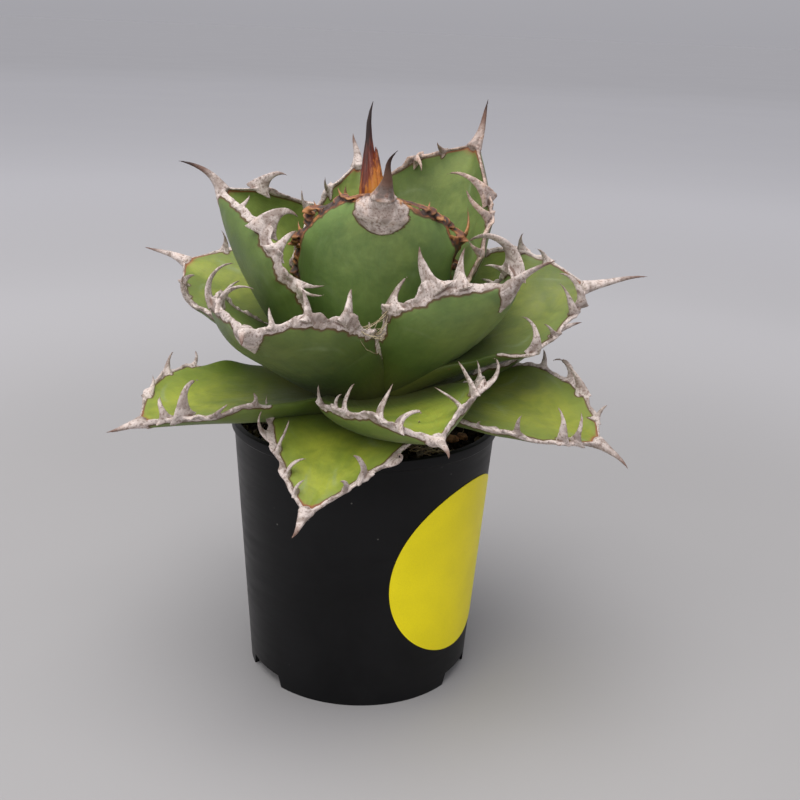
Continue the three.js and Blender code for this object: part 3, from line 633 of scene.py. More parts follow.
def mesh_from(bm, name):
    bmesh.ops.recalc_face_normals(bm, faces=bm.faces)
    mesh = bpy.data.meshes.new(name)
    bm.to_mesh(mesh)
    bm.free()
    return mesh


def finished_mesh(obj, name):
    """The mesh of obj with its modifiers applied. obj is removed."""
    bpy.context.view_layer.update()
    result = obj.evaluated_get(bpy.context.evaluated_depsgraph_get())
    mesh = bpy.data.meshes.new_from_object(result)
    mesh.name = name
    bpy.data.objects.remove(obj)
    return mesh


def blade_mesh(leaf, name, length_steps, round_steps):
    t = np.linspace(0, 1, length_steps)[:, None]
    turn = np.linspace(0, FULL_TURN, round_steps, endpoint=False)[None]
    rows = closed_ends(surface(leaf, t, turn))
    t = np.vstack([t[:1], t, t[-1:]])
    marks = {"along": t * np.ones_like(turn), "across": np.cos(turn) * np.ones_like(t),
             "face": np.sin(turn) * np.ones_like(t), "print": print_marks(leaf, t, turn)[1]}
    bm = bmesh.new()
    wrapped_sheet(bm, rows, marks)
    return mesh_from(bm, name)


def fused_horn(parts, name, voxel):
    """Fuses closed bodies of horn into one skin, and gives it their marks and its own hollows, where
    the horn's material paints shade.
    """
    bm = bmesh.new()
    for part in parts:
        wrapped_sheet(bm, part["rows"])
    mesh = mesh_from(bm, name)
    unfused = new_object(name + "_rough", mesh)
    fuse = unfused.modifiers.new("Fuse", "REMESH")
    fuse.mode = "VOXEL"
    fuse.voxel_size = voxel
    mesh = finished_mesh(unfused, name)
    bm = bmesh.new()
    bm.from_mesh(mesh)
    for _ in range(2):
        bmesh.ops.smooth_vert(bm, verts=bm.verts, factor=0.5, use_axis_x=True, use_axis_y=True,
                              use_axis_z=True)
    bm.to_mesh(mesh)
    bm.free()

    samples = []
    for part in parts:
        for row, point, rim in zip(part["rows"], part["point"], part["rim"]):
            samples += [(place, point, part["young"], edge) for place, edge in zip(row[::2], rim[::2])]
    tree = kdtree.KDTree(len(samples))
    for i, sample in enumerate(samples):
        tree.insert((sample[0] + AXIS) * MM, i)
    tree.balance()
    nearest = [samples[tree.find(v.co)[1]] for v in mesh.vertices]
    count = len(mesh.vertices)
    places, normals = np.zeros(count * 3), np.zeros(count * 3)
    mesh.vertices.foreach_get("co", places)
    mesh.vertex_normals.foreach_get("vector", normals)
    places, normals = places.reshape(-1, 3), normals.reshape(-1, 3)
    ends = np.zeros(len(mesh.edges) * 2, int)
    mesh.edges.foreach_get("vertices", ends)
    ends = ends.reshape(-1, 2)
    neighbours = np.bincount(ends.ravel(), minlength=count)

    def relaxed(values, rounds):
        for _ in range(rounds):
            values = sum(np.bincount(ends[:, k], values[ends[:, 1 - k]], minlength=count) for k in (0, 1))
            values = values / neighbours
        return values

    # How sunken each point is among its neighbours; the horn's material darkens the sunken places as painted
    # shade.
    lift = sum(relaxed(places[:, k], 4) * normals[:, k] for k in range(3)) - (places * normals).sum(1)
    add_mark(mesh, "hollow", relaxed(lift, 2) / voxel)
    for k, key in ((1, "point"), (2, "young"), (3, "rim")):
        add_mark(mesh, key, relaxed(np.array([sample[k] for sample in nearest], float), 2))
    point = np.array([sample[1] for sample in nearest])
    grain = np.array([noise.fractal(v.co * 700, 1.0, 2.0, 3) for v in mesh.vertices])
    places += normals * (grain * GRAIN_HEIGHT * MM * (1 - 0.7 * point))[:, None]
    mesh.vertices.foreach_set("co", places.ravel())
    mesh.update()
    return mesh


def mark_border(blade, horn):
    """Marks the blade 1 where horn touches it, fading to 0 at BORDER_REACH from the horn."""
    bpy.context.view_layer.update()
    skin = BVHTree.FromObject(horn, bpy.context.evaluated_depsgraph_get())
    gaps = [skin.find_nearest(v.co)[3] for v in blade.data.vertices]
    add_mark(blade.data, "border", np.clip(1 - np.array(gaps) / (BORDER_REACH * MM), 0, 1))


def add_mark(mesh, name, values):
    mesh.attributes.new(name, "FLOAT", "POINT").data.foreach_set("value", np.asarray(values, np.float32))


# ---- materials ----

class Nodes:
    """Short calls for building a material's node tree."""

    def __init__(self, name):
        self.material = bpy.data.materials.new(name)
        self.material.use_nodes = True
        self.tree = self.material.node_tree
        self.tree.nodes.clear()
        self.shader = self.tree.nodes.new("ShaderNodeBsdfPrincipled")
        output = self.tree.nodes.new("ShaderNodeOutputMaterial")
        self.tree.links.new(self.shader.outputs[0], output.inputs[0])

    def put(self, socket, value):
        if isinstance(value, bpy.types.NodeSocket):
            self.tree.links.new(value, socket)
        else:
            socket.default_value = value

    def add(self, kind, output=0, settings=None, **inputs):
        node = self.tree.nodes.new(kind)
        for key, value in (settings or {}).items():
            setattr(node, key, value)
        for key, value in inputs.items():
            self.put(node.inputs[key.replace("_", " ")], value)
        return node.outputs[output]

    def place(self):
        return self.add("ShaderNodeTexCoord", "Object")

    def mark(self, name):
        return self.add("ShaderNodeAttribute", "Fac", {"attribute_name": name})

    def noise(self, scale, detail=4.0, rough=0.55, vector=None, distortion=0.0):
        return self.add("ShaderNodeTexNoise", "Fac", Vector=vector or self.place(), Scale=scale,
                        Detail=detail, Roughness=rough, Distortion=distortion)

    def ramp(self, value, *stops):
        node = self.tree.nodes.new("ShaderNodeValToRGB")
        node.color_ramp.interpolation = "EASE"
        elements = node.color_ramp.elements
        while len(elements) < len(stops):
            elements.new(0.5)
        for element, (place, colour) in zip(elements, stops):
            element.position = place
            element.color = (*colour, 1) if hasattr(colour, "__len__") else (colour, colour, colour, 1)
        self.put(node.inputs[0], value)
        return node.outputs[0]

    def math(self, operation, a, b=0.0, clamp=False):
        node = self.tree.nodes.new("ShaderNodeMath")
        node.operation = operation
        node.use_clamp = clamp
        self.put(node.inputs[0], a)
        self.put(node.inputs[1], b)
        return node.outputs[0]

    def shaken(self, value, pattern, amount, clamp=False):
        """value, pushed up and down by a noise pattern that is 0.5 in the middle."""
        push = self.math("MULTIPLY", self.math("SUBTRACT", pattern, 0.5), amount)
        return self.math("ADD", value, push, clamp)

    def blend(self, factor, a, b):
        node = self.tree.nodes.new("ShaderNodeMix")
        node.data_type = "RGBA"
        self.put(node.inputs["Factor"], factor)
        for key, value in ((6, a), (7, b)):
            self.put(node.inputs[key], value if isinstance(value, bpy.types.NodeSocket) else (*value, 1))
        return node.outputs[2]

    def bump(self, height, strength, distance, normal=None):
        node = self.tree.nodes.new("ShaderNodeBump")
        self.put(node.inputs["Height"], height)
        node.inputs["Strength"].default_value = strength
        node.inputs["Distance"].default_value = distance
        if normal is not None:
            self.put(node.inputs["Normal"], normal)
        return node.outputs[0]

    def finish(self, colour, roughness, normal=None, **inputs):
        self.put(self.shader.inputs["Base Color"], colour)
        self.put(self.shader.inputs["Roughness"], roughness)
        if normal is not None:
            self.put(self.shader.inputs["Normal"], normal)
        for key, value in inputs.items():
            self.shader.inputs[key.replace("_", " ")].default_value = value
        return self.material


def tinted(colour, *shares):
    """A colour with its channels multiplied by one share each, or all by the same one."""
    return tuple(c * share for c, share in zip(colour, shares * 3 if len(shares) == 1 else shares))


def leaf_skin(name, settings, upper, lower, seed):
    """Waxy green skin: yellower above, bluer below, with grain along the leaf and bud prints, and with
    painted shade that darkens each leaf toward its base.
    """
    n = Nodes(name)
    across, along, face, prints = (n.mark(key) for key in ("across", "along", "face", "print"))
    border = n.mark("border")
    place = n.place()
    moved = n.add("ShaderNodeMapping", 0, Vector=place, Location=(seed * 0.013, seed * 0.007, seed * 0.005))
    broad = n.noise(38.0, 3.0, 0.5, moved, 0.6)
    mottle = n.noise(115.0, 4.0, 0.6, moved, 0.8)
    fine = n.noise(420.0, 5.0, 0.6, moved)
    stretched = n.add("ShaderNodeCombineXYZ", 0, X=n.math("MULTIPLY", across, 46.0),
                      Y=n.math("MULTIPLY", along, 5.0), Z=seed * 1.7)
    grain = n.noise(1.0, 4.0, 0.6, stretched, 0.3)
    cloud = n.ramp(n.math("ADD", n.math("MULTIPLY", broad, 0.6), n.math("MULTIPLY", mottle, 0.4)),
                   (0.38, 0.0), (0.62, 1.0))
    above = n.blend(cloud, tinted(upper, 0.58, 0.66, 0.6), tinted(upper, 1.04))
    below = n.blend(cloud, tinted(lower, 0.6, 0.68, 0.7), tinted(lower, 1.05))
    side = n.ramp(face, (0.0, 0.0), (0.12, 1.0))
    skin = n.blend(side, below, above)
    outer = n.shaken(n.math("ABSOLUTE", across), broad, 0.9)
    skin = n.blend(n.ramp(outer, (0.3, 0.0), (1.0, 0.6)), skin, tinted(lower, 0.72, 0.86, 0.6))
    skin = n.blend(n.ramp(grain, (0.38, 0.0), (0.75, 0.08)), skin, settings.bloom_colour)
    printed = n.ramp(n.math("MULTIPLY", prints, broad), (0.06, 0.0), (0.5, 0.45))
    skin = n.blend(printed, skin, settings.bloom_colour)
    # Painted shade: the lower part of each leaf, toward the stem, is darkened to a dark green that stands in
    # for the shade among the leaves.
    deep = n.ramp(n.shaken(along, broad, 0.25), (0.3, 0.75), (0.72, 0.0))
    skin = n.blend(deep, skin, tinted(lower, 0.34, 0.46, 0.24))
    border = n.shaken(border, fine, 0.7)
    skin = n.blend(n.ramp(border, (0.2, 0.0), (0.75, 0.9)), skin, settings.edge_colour)
    tip = n.math("MULTIPLY", side, n.ramp(n.math("ADD", along, n.math("MULTIPLY", border, 0.06)),
                                          (0.95, 0.0), (1.01, 0.8)))
    skin = n.blend(tip, skin, settings.tip_colour)
    base = n.ramp(along, (0.12, 0.75), (0.42, 0.0))
    skin = n.blend(base, skin, settings.base_colour)
    spots = n.add("ShaderNodeTexVoronoi", "Distance", Vector=moved, Scale=210.0)
    few = n.math("MULTIPLY", n.ramp(spots, (0.05, 1.0), (0.14, 0.0)), n.ramp(broad, (0.55, 0.0), (0.7, 0.55)))
    skin = n.blend(few, skin, settings.speck_colour)
    skin = n.blend(n.ramp(fine, (0.3, 0.16), (0.75, 0.0)), skin, (0.02, 0.035, 0.01))
    shine = n.ramp(n.math("ADD", n.math("MULTIPLY", grain, 0.5), n.math("MULTIPLY", fine, 0.5)),
                   (0.3, 0.40), (0.7, 0.62))
    bumps = n.bump(fine, 0.25, 0.0004)
    bumps = n.bump(grain, 0.15, 0.0004, bumps)
    bumps = n.bump(broad, 0.3, 0.0012, bumps)
    return n.finish(skin, shine, bumps, Specular_IOR_Level=0.36, Sheen_Weight=0.04, Sheen_Roughness=0.5,
                    Subsurface_Weight=0.05, Subsurface_Scale=0.002)


def horn_skin(settings):
    """Weathered pale horn, brown where it is fresh, dark toward the points, with painted shade in its
    hollows and tan crests on the fresh horn that stand in part for highlights.
    """
    n = Nodes("weathered_horn")
    point, young, rim, hollow = n.mark("point"), n.mark("young"), n.mark("rim"), n.mark("hollow")
    coarse = n.noise(190.0, 3.0, 0.55, distortion=0.8)
    fine = n.noise(1300.0, 3.0, 0.6)
    flakes = n.add("ShaderNodeTexVoronoi", "Distance", {"feature": "DISTANCE_TO_EDGE"}, Scale=420.0,
                   Randomness=1.0)
    pale = n.blend(n.ramp(coarse, (0.38, 0.0), (0.58, 1.0)), settings.shade_colour, settings.pale_colour)
    pale = n.blend(n.ramp(fine, (0.34, 0.7), (0.5, 0.0)), pale, settings.stain_colour)
    pale = n.blend(n.ramp(flakes, (0.0, 0.35), (0.06, 0.0)), pale, settings.stain_colour)
    # Painted shade: the sunken places of the horn are darkened with the stain colour.
    pale = n.blend(n.ramp(hollow, (0.03, 0.0), (0.26, 0.9)), pale, settings.stain_colour)
    pale = n.blend(n.ramp(n.shaken(rim, fine, 0.8), (0.35, 0.0), (0.9, 0.8)), pale, settings.stain_colour)
    # Fresh horn's brown: dark in sunken places as painted shade, tan on crests partly as a painted highlight,
    # varied by noise.
    crest = n.math("SUBTRACT", coarse, n.math("MULTIPLY", hollow, 0.8))
    brown = n.ramp(crest, (0.43, settings.dark_colour), (0.55, settings.young_colour),
                   (0.74, settings.tan_colour))
    horn = n.blend(n.shaken(young, coarse, 0.9, clamp=True), pale, brown)
    reach = n.shaken(point, coarse, 0.3)
    horn = n.blend(n.ramp(reach, (0.3, 0.0), (0.6, 0.9)), horn, settings.tip_colour)
    horn = n.blend(n.ramp(reach, (0.6, 0.0), (0.95, 1.0)), horn, settings.dark_colour)
    shine = n.ramp(fine, (0.3, 0.5), (0.7, 0.75))
    bumps = n.bump(fine, 0.5, 0.0003)
    bumps = n.bump(coarse, 0.5, 0.0006, bumps)
    return n.finish(horn, shine, bumps, Specular_IOR_Level=0.35)


def bud_skin(settings):
    """Amber below, red-brown to nearly black at the point, with streaks along it."""
    n = Nodes("fresh_horn")
    place = n.place()
    split = n.tree.nodes.new("ShaderNodeSeparateXYZ")
    n.put(split.inputs[0], place)
    height = n.math("DIVIDE", n.math("SUBTRACT", split.outputs[2], BUD_FADE_FOOT), BUD_FADE)
    long_way = n.add("ShaderNodeMapping", 0, Vector=place, Scale=(1.0, 1.0, 0.09))
    streaks = n.noise(1500.0, 4.0, 0.6, long_way)
    fine = n.noise(1600.0, 4.0, 0.6)
    aside = n.math("DIVIDE", n.math("SUBTRACT", split.outputs[0], (AXIS[0] - 4) * MM), BUD_SHADE)
    shade = n.ramp(aside, (0.2, 0.26), (0.6, 0.0))
    mixed = n.math("ADD", n.shaken(height, streaks, 0.9), shade)
    colour = n.ramp(mixed, (0.05, settings.base_colour), (0.28, settings.amber_colour),
                    (0.52, settings.red_colour), (0.95, settings.dark_colour))
    shine = n.ramp(streaks, (0.3, 0.32), (0.7, 0.5))
    bumps = n.bump(streaks, 0.5, 0.0004)
    bumps = n.bump(fine, 0.2, 0.0002, bumps)
    return n.finish(colour, shine, bumps, Specular_IOR_Level=0.5)


def pot_plastic(settings):
    """Black moulded plastic with a soft sheen, faint rings and a little dust."""
    n = Nodes("moulded_plastic")
    place = n.place()
    flat = n.add("ShaderNodeMapping", 0, Vector=place, Scale=(0.12, 0.12, 1.0))
    rings = n.noise(420.0, 3.0, 0.5, flat)
    haze = n.noise(28.0, 4.0, 0.6, place, 0.4)
    fine = n.noise(2600.0, 3.0, 0.6, place)
    dust = n.add("ShaderNodeTexVoronoi", "Distance", Vector=place, Scale=230.0)
    specks = n.math("MULTIPLY", n.ramp(dust, (0.03, 1.0), (0.09, 0.0)),
                    n.ramp(haze, (0.52, 0.0), (0.66, 0.5)))
    black = n.blend(n.ramp(haze, (0.35, 0.0), (0.7, 1.0)), settings.plastic_colour,
                    tuple(c * 1.6 + 0.001 for c in settings.plastic_colour))
    black = n.blend(specks, black, settings.dust_colour)
    shine = n.ramp(n.math("ADD", n.math("MULTIPLY", haze, 0.7), n.math("MULTIPLY", rings, 0.3)),
                   (0.3, 0.33), (0.7, 0.5))
    bumps = n.bump(rings, 0.12, 0.0004)
    bumps = n.bump(fine, 0.1, 0.0001, bumps)
    return n.finish(black, shine, bumps, Specular_IOR_Level=0.16)


def label_paper(settings):
    """Coated yellow paper."""
    n = Nodes("coated_paper")
    haze = n.noise(60.0, 3.0, 0.5)
    fine = n.noise(3200.0, 4.0, 0.7)
    paper = n.blend(n.ramp(haze, (0.35, 0.0), (0.7, 1.0)), tinted(settings.paper_colour, 0.93),
                    settings.paper_colour)
    paper = n.blend(n.ramp(fine, (0.35, 0.12), (0.6, 0.0)), paper, (0.4, 0.3, 0.02))
    shine = n.ramp(fine, (0.3, 0.36), (0.7, 0.46))
    return n.finish(paper, shine, n.bump(fine, 0.08, 0.0001), Specular_IOR_Level=0.3)


def soil_mix(settings):
    """Dark gritty potting mix."""
    n = Nodes("potting_mix")
    coarse = n.noise(210.0, 5.0, 0.7)
    fine = n.noise(1100.0, 6.0, 0.75)
    earth = n.blend(n.ramp(coarse, (0.35, 0.0), (0.65, 1.0)), settings.soil_colour, settings.bark_colour)
    earth = n.blend(n.ramp(fine, (0.35, 0.6), (0.6, 0.0)), earth, (0.008, 0.006, 0.005))
    bumps = n.bump(fine, 0.9, 0.0008)
    return n.finish(earth, n.ramp(fine, (0.3, 0.8), (0.7, 0.95)), bumps, Specular_IOR_Level=0.2)


def grain_stuff(name, light, dark, scale):
    n = Nodes(name)
    coarse = n.noise(scale, 5.0, 0.65)
    colour = n.blend(n.ramp(coarse, (0.38, 0.0), (0.62, 1.0)), dark, light)
    return n.finish(colour, n.ramp(coarse, (0.3, 0.75), (0.7, 0.95)), n.bump(coarse, 0.7, 0.0005),
                    Specular_IOR_Level=0.25)


# ---- settings ----

def colour_setting(name, description, default):
    return FloatVectorProperty(name=name, description=description, subtype="COLOR", size=3, min=0, max=1,
                               default=default)


def length_setting(name, description, default):
    return FloatProperty(name=name, description=description, unit="LENGTH", min=0, default=default,
                         precision=5)


class LeafSettings(bpy.types.PropertyGroup):
    upper_colour: colour_setting("Upper face", "Outer leaves' upper faces, yellow-green",
                                 (0.315, 0.352, 0.03))
    lower_colour: colour_setting("Lower face", "Inner leaves' lower faces, muted green",
                                 (0.166, 0.225, 0.068))
    bloom_colour: colour_setting("Bloom", "Pale waxy bloom along the grain", (0.24, 0.30, 0.15))
    edge_colour: colour_setting("Edge", "Dry line beside the horn", (0.105, 0.05, 0.022))
    tip_colour: colour_setting("Tip", "Reddened skin at the foot of the spine", (0.27, 0.085, 0.03))
    base_colour: colour_setting("Base", "Pale leaf base near the stem", (0.16, 0.17, 0.035))
    speck_colour: colour_setting("Specks", "Small corky specks", (0.25, 0.14, 0.05))
    length_steps: IntProperty(name="Length steps", description="Rings along each blade", default=150, min=20)
    round_steps: IntProperty(name="Round steps", description="Points round each blade", default=90, min=16)


class HornSettings(bpy.types.PropertyGroup):
    pale_colour: colour_setting("Pale", "Weathered horn", (0.66, 0.575, 0.54))
    shade_colour: colour_setting("Shade", "Darker weathered horn", (0.33, 0.265, 0.235))
    tip_colour: colour_setting("Toward the points", "Brown of the horn toward its points",
                               (0.125, 0.058, 0.038))
    # Besides the stains, this colour paints the shade in the horn's sunken places.
    stain_colour: colour_setting("Stain", "Brown stains in the horn", (0.16, 0.095, 0.07))
    young_colour: colour_setting("Young", "Fresh orange-brown horn", (0.16, 0.05, 0.020))
    # This tan partly stands in for highlights on the fresh horn's crests.
    tan_colour: colour_setting("Tan", "Pale tan crests of the fresh horn", (0.40, 0.18, 0.068))
    # Besides the points, this dark paints the shade in the fresh horn's sunken places.
    dark_colour: colour_setting("Dark", "Dark points of teeth and spines", (0.028, 0.012, 0.010))
    voxel: length_setting("Fineness", "Cell size at which the horn's parts are fused", 0.00030)
    fibres: IntProperty(name="Fibres", description="Dry fibres where two front leaves part", default=14,
                        min=1)


class BudSettings(bpy.types.PropertyGroup):
    base_colour: colour_setting("Base", "Yellow foot of the bud", (0.50, 0.26, 0.05))
    amber_colour: colour_setting("Amber", "Amber middle of the bud", (0.52, 0.17, 0.02))
    red_colour: colour_setting("Red", "Red-brown upper part", (0.15, 0.026, 0.012))
    dark_colour: colour_setting("Dark", "Dark point", (0.022, 0.009, 0.008))


class PotSettings(bpy.types.PropertyGroup):
    plastic_colour: colour_setting("Plastic", "Black plastic", (0.004, 0.004, 0.0045))
    dust_colour: colour_setting("Dust", "Pale dust on the wall", (0.25, 0.24, 0.22))
    wall: length_setting("Wall", "Thickness of the wall", 0.0014)
    rim_band: length_setting("Rim band", "Height of the band at the rim", 0.003)
    foot_radius: length_setting("Foot radius", "Radius at the foot", 0.0384)
    floor_height: length_setting("Floor height", "Height of the raised floor", 0.0045)
    segments: IntProperty(name="Segments", description="Steps round the pot", default=192, min=24)


class LabelSettings(bpy.types.PropertyGroup):
    paper_colour: colour_setting("Paper", "Yellow coated paper", (1.0, 0.85, 0.006))
    thickness: length_setting("Thickness", "Thickness of the label", 0.00016)


class SoilSettings(bpy.types.PropertyGroup):
    soil_colour: colour_setting("Soil", "Dark mix", (0.020, 0.014, 0.010))
    bark_colour: colour_setting("Bark", "Brown bark in the mix", (0.085, 0.050, 0.028))
    pumice_colour: colour_setting("Pumice", "Pale pumice grains", (0.45, 0.38, 0.28))
    grains: IntProperty(name="Grains", description="Number of loose grains", default=620, min=0)


class StageSettings(bpy.types.PropertyGroup):
    floor_colour: colour_setting("Floor", "Plain pale floor", (0.355, 0.345, 0.35))
    # Painted light: this lighter colour paints the far floor brighter than the floor near the pot.
    far_colour: colour_setting("Far floor", "The floor behind the pot", (0.64, 0.63, 0.66))
    floor_size: length_setting("Floor size", "Half width of the floor", 30.0)
    lens: FloatProperty(name="Lens", description="Focal length in millimetres", default=50.6, min=10)


# ---- operators ----

def all_leaves():
    buds = [(f"bud_leaf_{i + 1}", place_leaf(data, i + BUD_RANKS)) for i, data in enumerate(BUD_LEAVES)]
    return buds + [(f"leaf_{i + 1:02d}", place_leaf(data, i)) for i, data in enumerate(LEAVES)]


def ride_root(obj, slot):
    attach(obj, "root")
    return obj


class AGAVE_OT_leaves(bpy.types.Operator):
    """Build the blade of every leaf"""
    bl_idname = "agave.leaves"
    bl_label = "Leaf Blades"

    def execute(self, context):
        settings = context.scene.agave_leaf
        upper, lower = np.array(settings.upper_colour), np.array(settings.lower_colour)
        for name, leaf in all_leaves():
            age = min(1, max(0, leaf["rank"]) / 10)
            # Painted light: sunlit lightens the upper face's colour.
            top = mix(lower, upper, 0.1 + 0.9 * age) * leaf["tone"] * leaf["sunlit"]
            under = mix(lower, upper * 0.7, 0.45 * age) * leaf["tone"]
            skin = leaf_skin(name + "_skin", settings, top.tolist(), under.tolist(), leaf["rank"] + 3)
            mesh = blade_mesh(leaf, name + "_blade", settings.length_steps, settings.round_steps)
            blade = ride_root(new_object(name + "_blade", mesh, skin), "leaf")
            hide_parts(name)
        return {"FINISHED"}


class AGAVE_OT_horn(bpy.types.Operator):
    """Build the horny margins, teeth and spines"""
    bl_idname = "agave.horn"
    bl_label = "Horn"

    def execute(self, context):
        settings = context.scene.agave_horn
        skin = horn_skin(settings)
        for name, leaf in all_leaves():
            parts = [make(leaf, margin) for make in (margin_band, margin_ridge) for margin in (1, -1)]
            parts += curved_teeth(leaf) + [end_spine(leaf), tip_patch(leaf, *leaf["patch"])]
            for part in parts:
                part["young"] = leaf["young"]
            if leaf["patch"][2] > 1:
                parts[-2]["young"], parts[-1]["young"] = PATCHED_SPINE_YOUNG, PATCH_YOUNG
            mesh = fused_horn(parts, name + "_horn", settings.voxel)
            horn = ride_root(new_object(name + "_horn", mesh, skin), "horn")
            mark_border(bpy.data.objects[name + "_blade"], horn)
        return {"FINISHED"}


class AGAVE_OT_fibres(bpy.types.Operator):
    """Build the dry fibres where two front leaves part"""
    bl_idname = "agave.fibres"
    bl_label = "Dry Fibres"

    def execute(self, context):
        leaves = dict(all_leaves())
        rng = random.Random(5)
        bm = bmesh.new()
        for i in range(context.scene.agave_horn.fibres):
            start = margin_frame(leaves["leaf_06"], rng.uniform(0.5, 0.7), -1)[0]
            end = margin_frame(leaves["leaf_04"], rng.uniform(0.44, 0.58), 1)[0]
            spread = np.array([rng.uniform(-2, 2), rng.uniform(-3.5, -1.5), rng.uniform(-5, 2)])
            if i % 2:
                end = mix(start, end, rng.uniform(0.4, 0.8)) + spread * 1.4
            share = np.linspace(0, 1, 16)[:, None]
            middle = (start + end) / 2 + spread
            points = start * (1 - share) ** 2 + 2 * middle * share * (1 - share) + end * share ** 2
            points = points + 0.25 * rough(9 * share, i)
            add_strand(bm, points, rng.uniform(0.12, 0.24) * (1 - 0.6 * share[:, 0]))
        straw = grain_stuff("dry_fibre", (0.50, 0.42, 0.28), (0.26, 0.19, 0.11), 600.0)
        ride_root(new_object("dry_fibres", mesh_from(bm, "dry_fibres"), straw), "horn")
        return {"FINISHED"}


class AGAVE_OT_bud(bpy.types.Operator):
    """Build the point that stands out of the closed bud"""
    bl_idname = "agave.bud"
    bl_label = "Bud Point"

    def execute(self, context):
        low, high = (np.array(corner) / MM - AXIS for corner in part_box("bud_point"))
        turn = np.linspace(0, FULL_TURN, 48, endpoint=False)
        bm = bmesh.new()
        for top, sizes, leans, aheads, seam in BUD_SHEATHS:
            share = np.linspace(0, 1, 110)
            size, lean, forward = (np.interp(share, *zip(*stops)) for stops in (sizes, leans, aheads))
            fold = 1 - 0.16 * bell(np.mod(turn + seam + math.pi, FULL_TURN) - math.pi, 0.2)
            radius = BUD_RADIUS * size[:, None] * (fold + 0.04 * np.sin(5 * turn + 3 * share[:, None]))
            rows = np.stack([lean[:, None] + radius * np.cos(turn), forward[:, None] + radius * np.sin(turn),
                             (low[2] + (high[2] - low[2]) * top * share)[:, None] + 0 * radius], -1)
            wrapped_sheet(bm, closed_ends(rows))
        skin = bud_skin(context.scene.agave_bud)
        point = ride_root(new_object("bud_point_horn", mesh_from(bm, "bud_point_horn"), skin), "horn")
        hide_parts("bud_point")
        return {"FINISHED"}


def wall_radius(pot, z):
    """Radius of the tapered wall's outside at height z, in metres."""
    return mix(pot.foot_radius, RIM_RADIUS - RIM_STEP, z / POT_HEIGHT)


def turn_about_axis(bm, verts, degrees):
    turn = Matrix.Rotation(math.radians(degrees), 3, "Z")
    bmesh.ops.rotate(bm, verts=verts, cent=(0, 0, 0), matrix=turn)


class AGAVE_OT_pot(bpy.types.Operator):
    """Build the nursery pot"""
    bl_idname = "agave.pot"
    bl_label = "Pot"

    def execute(self, context):
        settings = context.scene.agave_pot
        wall, floor = settings.wall, settings.floor_height
        band = POT_HEIGHT - settings.rim_band
        floor_top = floor + FLOOR_THICKNESS

        def radius_at(z):
            return wall_radius(settings, z)

        profile = [(radius_at(0), 0), (radius_at(band - RIM_STEP), band - RIM_STEP), (RIM_RADIUS, band),
                   (RIM_RADIUS, POT_HEIGHT), (RIM_RADIUS - RIM_STEP - wall, POT_HEIGHT),
                   (radius_at(floor_top) - wall, floor_top), (MIDDLE_HOLE, floor_top), (MIDDLE_HOLE, floor),
                   (radius_at(floor) - wall, floor), (radius_at(0) - wall, 0)]
        bm = spun_profile([(r, 0, z) for r, z in profile], settings.segments, closed=True)
        sharp = [e for e in bm.edges if e.calc_face_angle(0) > 0.5 and e.verts[0].co.z > 0.05]
        bmesh.ops.bevel(bm, geom=sharp, offset=BEVEL, segments=3, profile=0.5, affect="EDGES", material=-1)
        pot = new_object("pot_rough", mesh_from(bm, "pot_rough"))

        cutters = bmesh.new()
        for i in range(NOTCHES):
            made = bmesh.ops.create_cube(cutters, size=1)["verts"]
            for v in made:
                half = NOTCH_HALF_FOOT if v.co.z < 0 else NOTCH_HALF_TOP
                v.co = (0.035 + v.co.x * 0.012, 2 * v.co.y * half, -0.001 if v.co.z < 0 else floor - 0.0003)
            turn_about_axis(cutters, made, FIRST_NOTCH + 360 / NOTCHES * i)
        for i in range(DRAIN_HOLES):
            made = bmesh.ops.create_cone(cutters, cap_ends=True, segments=32, radius1=DRAIN_RADIUS,
                                         radius2=DRAIN_RADIUS, depth=0.006)["verts"]
            bmesh.ops.translate(cutters, verts=made, vec=(DRAIN_CIRCLE, 0, floor))
            turn_about_axis(cutters, made, 360 / DRAIN_HOLES * i)
        cutter = new_object("pot_cutter", mesh_from(cutters, "pot_cutter"))
        cut = pot.modifiers.new("Notches", "BOOLEAN")
        cut.operation = "DIFFERENCE"
        cut.solver = "EXACT"
        cut.object = cutter
        mesh = finished_mesh(pot, "pot_body")
        bpy.data.objects.remove(cutter)
        mesh.transform(Matrix.Translation(Vector(AXIS) * MM))
        mesh.materials.clear()
        body = ride_root(new_object("pot_body", mesh, pot_plastic(settings)), "pot")
        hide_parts("pot")
        mesh.set_sharp_from_angle(angle=math.radians(SHARP_ANGLE))
        return {"FINISHED"}


class AGAVE_OT_label(bpy.types.Operator):
    """Build the bare round label on the wall"""
    bl_idname = "agave.label"
    bl_label = "Label"

    def execute(self, context):
        settings = context.scene.agave_label
        low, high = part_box("label")
        size = (high.z - low.z) / 2
        middle_z = (high.z + low.z) / 2
        points = np.array([v.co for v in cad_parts["label"].data.vertices]) - AXIS * MM
        heading = math.atan2(points[:, 1].mean(), points[:, 0].mean())
        rings = 16
        bm = spun_profile([(size * i / rings, 0, 0) for i in range(rings + 1)], 128)
        if next(iter(bm.faces)).normal.z < 0:
            bmesh.ops.reverse_faces(bm, faces=bm.faces)
        bmesh.ops.solidify(bm, geom=list(bm.faces), thickness=settings.thickness)
        for v in bm.verts:
            z = middle_z + v.co.y
            radius = wall_radius(context.scene.agave_pot, z)
            angle = heading + v.co.x / radius
            radius += settings.thickness + v.co.z + LABEL_GAP
            v.co = (radius * math.cos(angle), radius * math.sin(angle), z)
        bmesh.ops.translate(bm, verts=bm.verts, vec=Vector(AXIS) * MM)
        mesh = mesh_from(bm, "label_paper")
        paper = ride_root(new_object("label_paper", mesh, label_paper(settings)), "label")
        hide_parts("label")
        mesh.set_sharp_from_angle(angle=math.radians(SHARP_ANGLE))
        return {"FINISHED"}


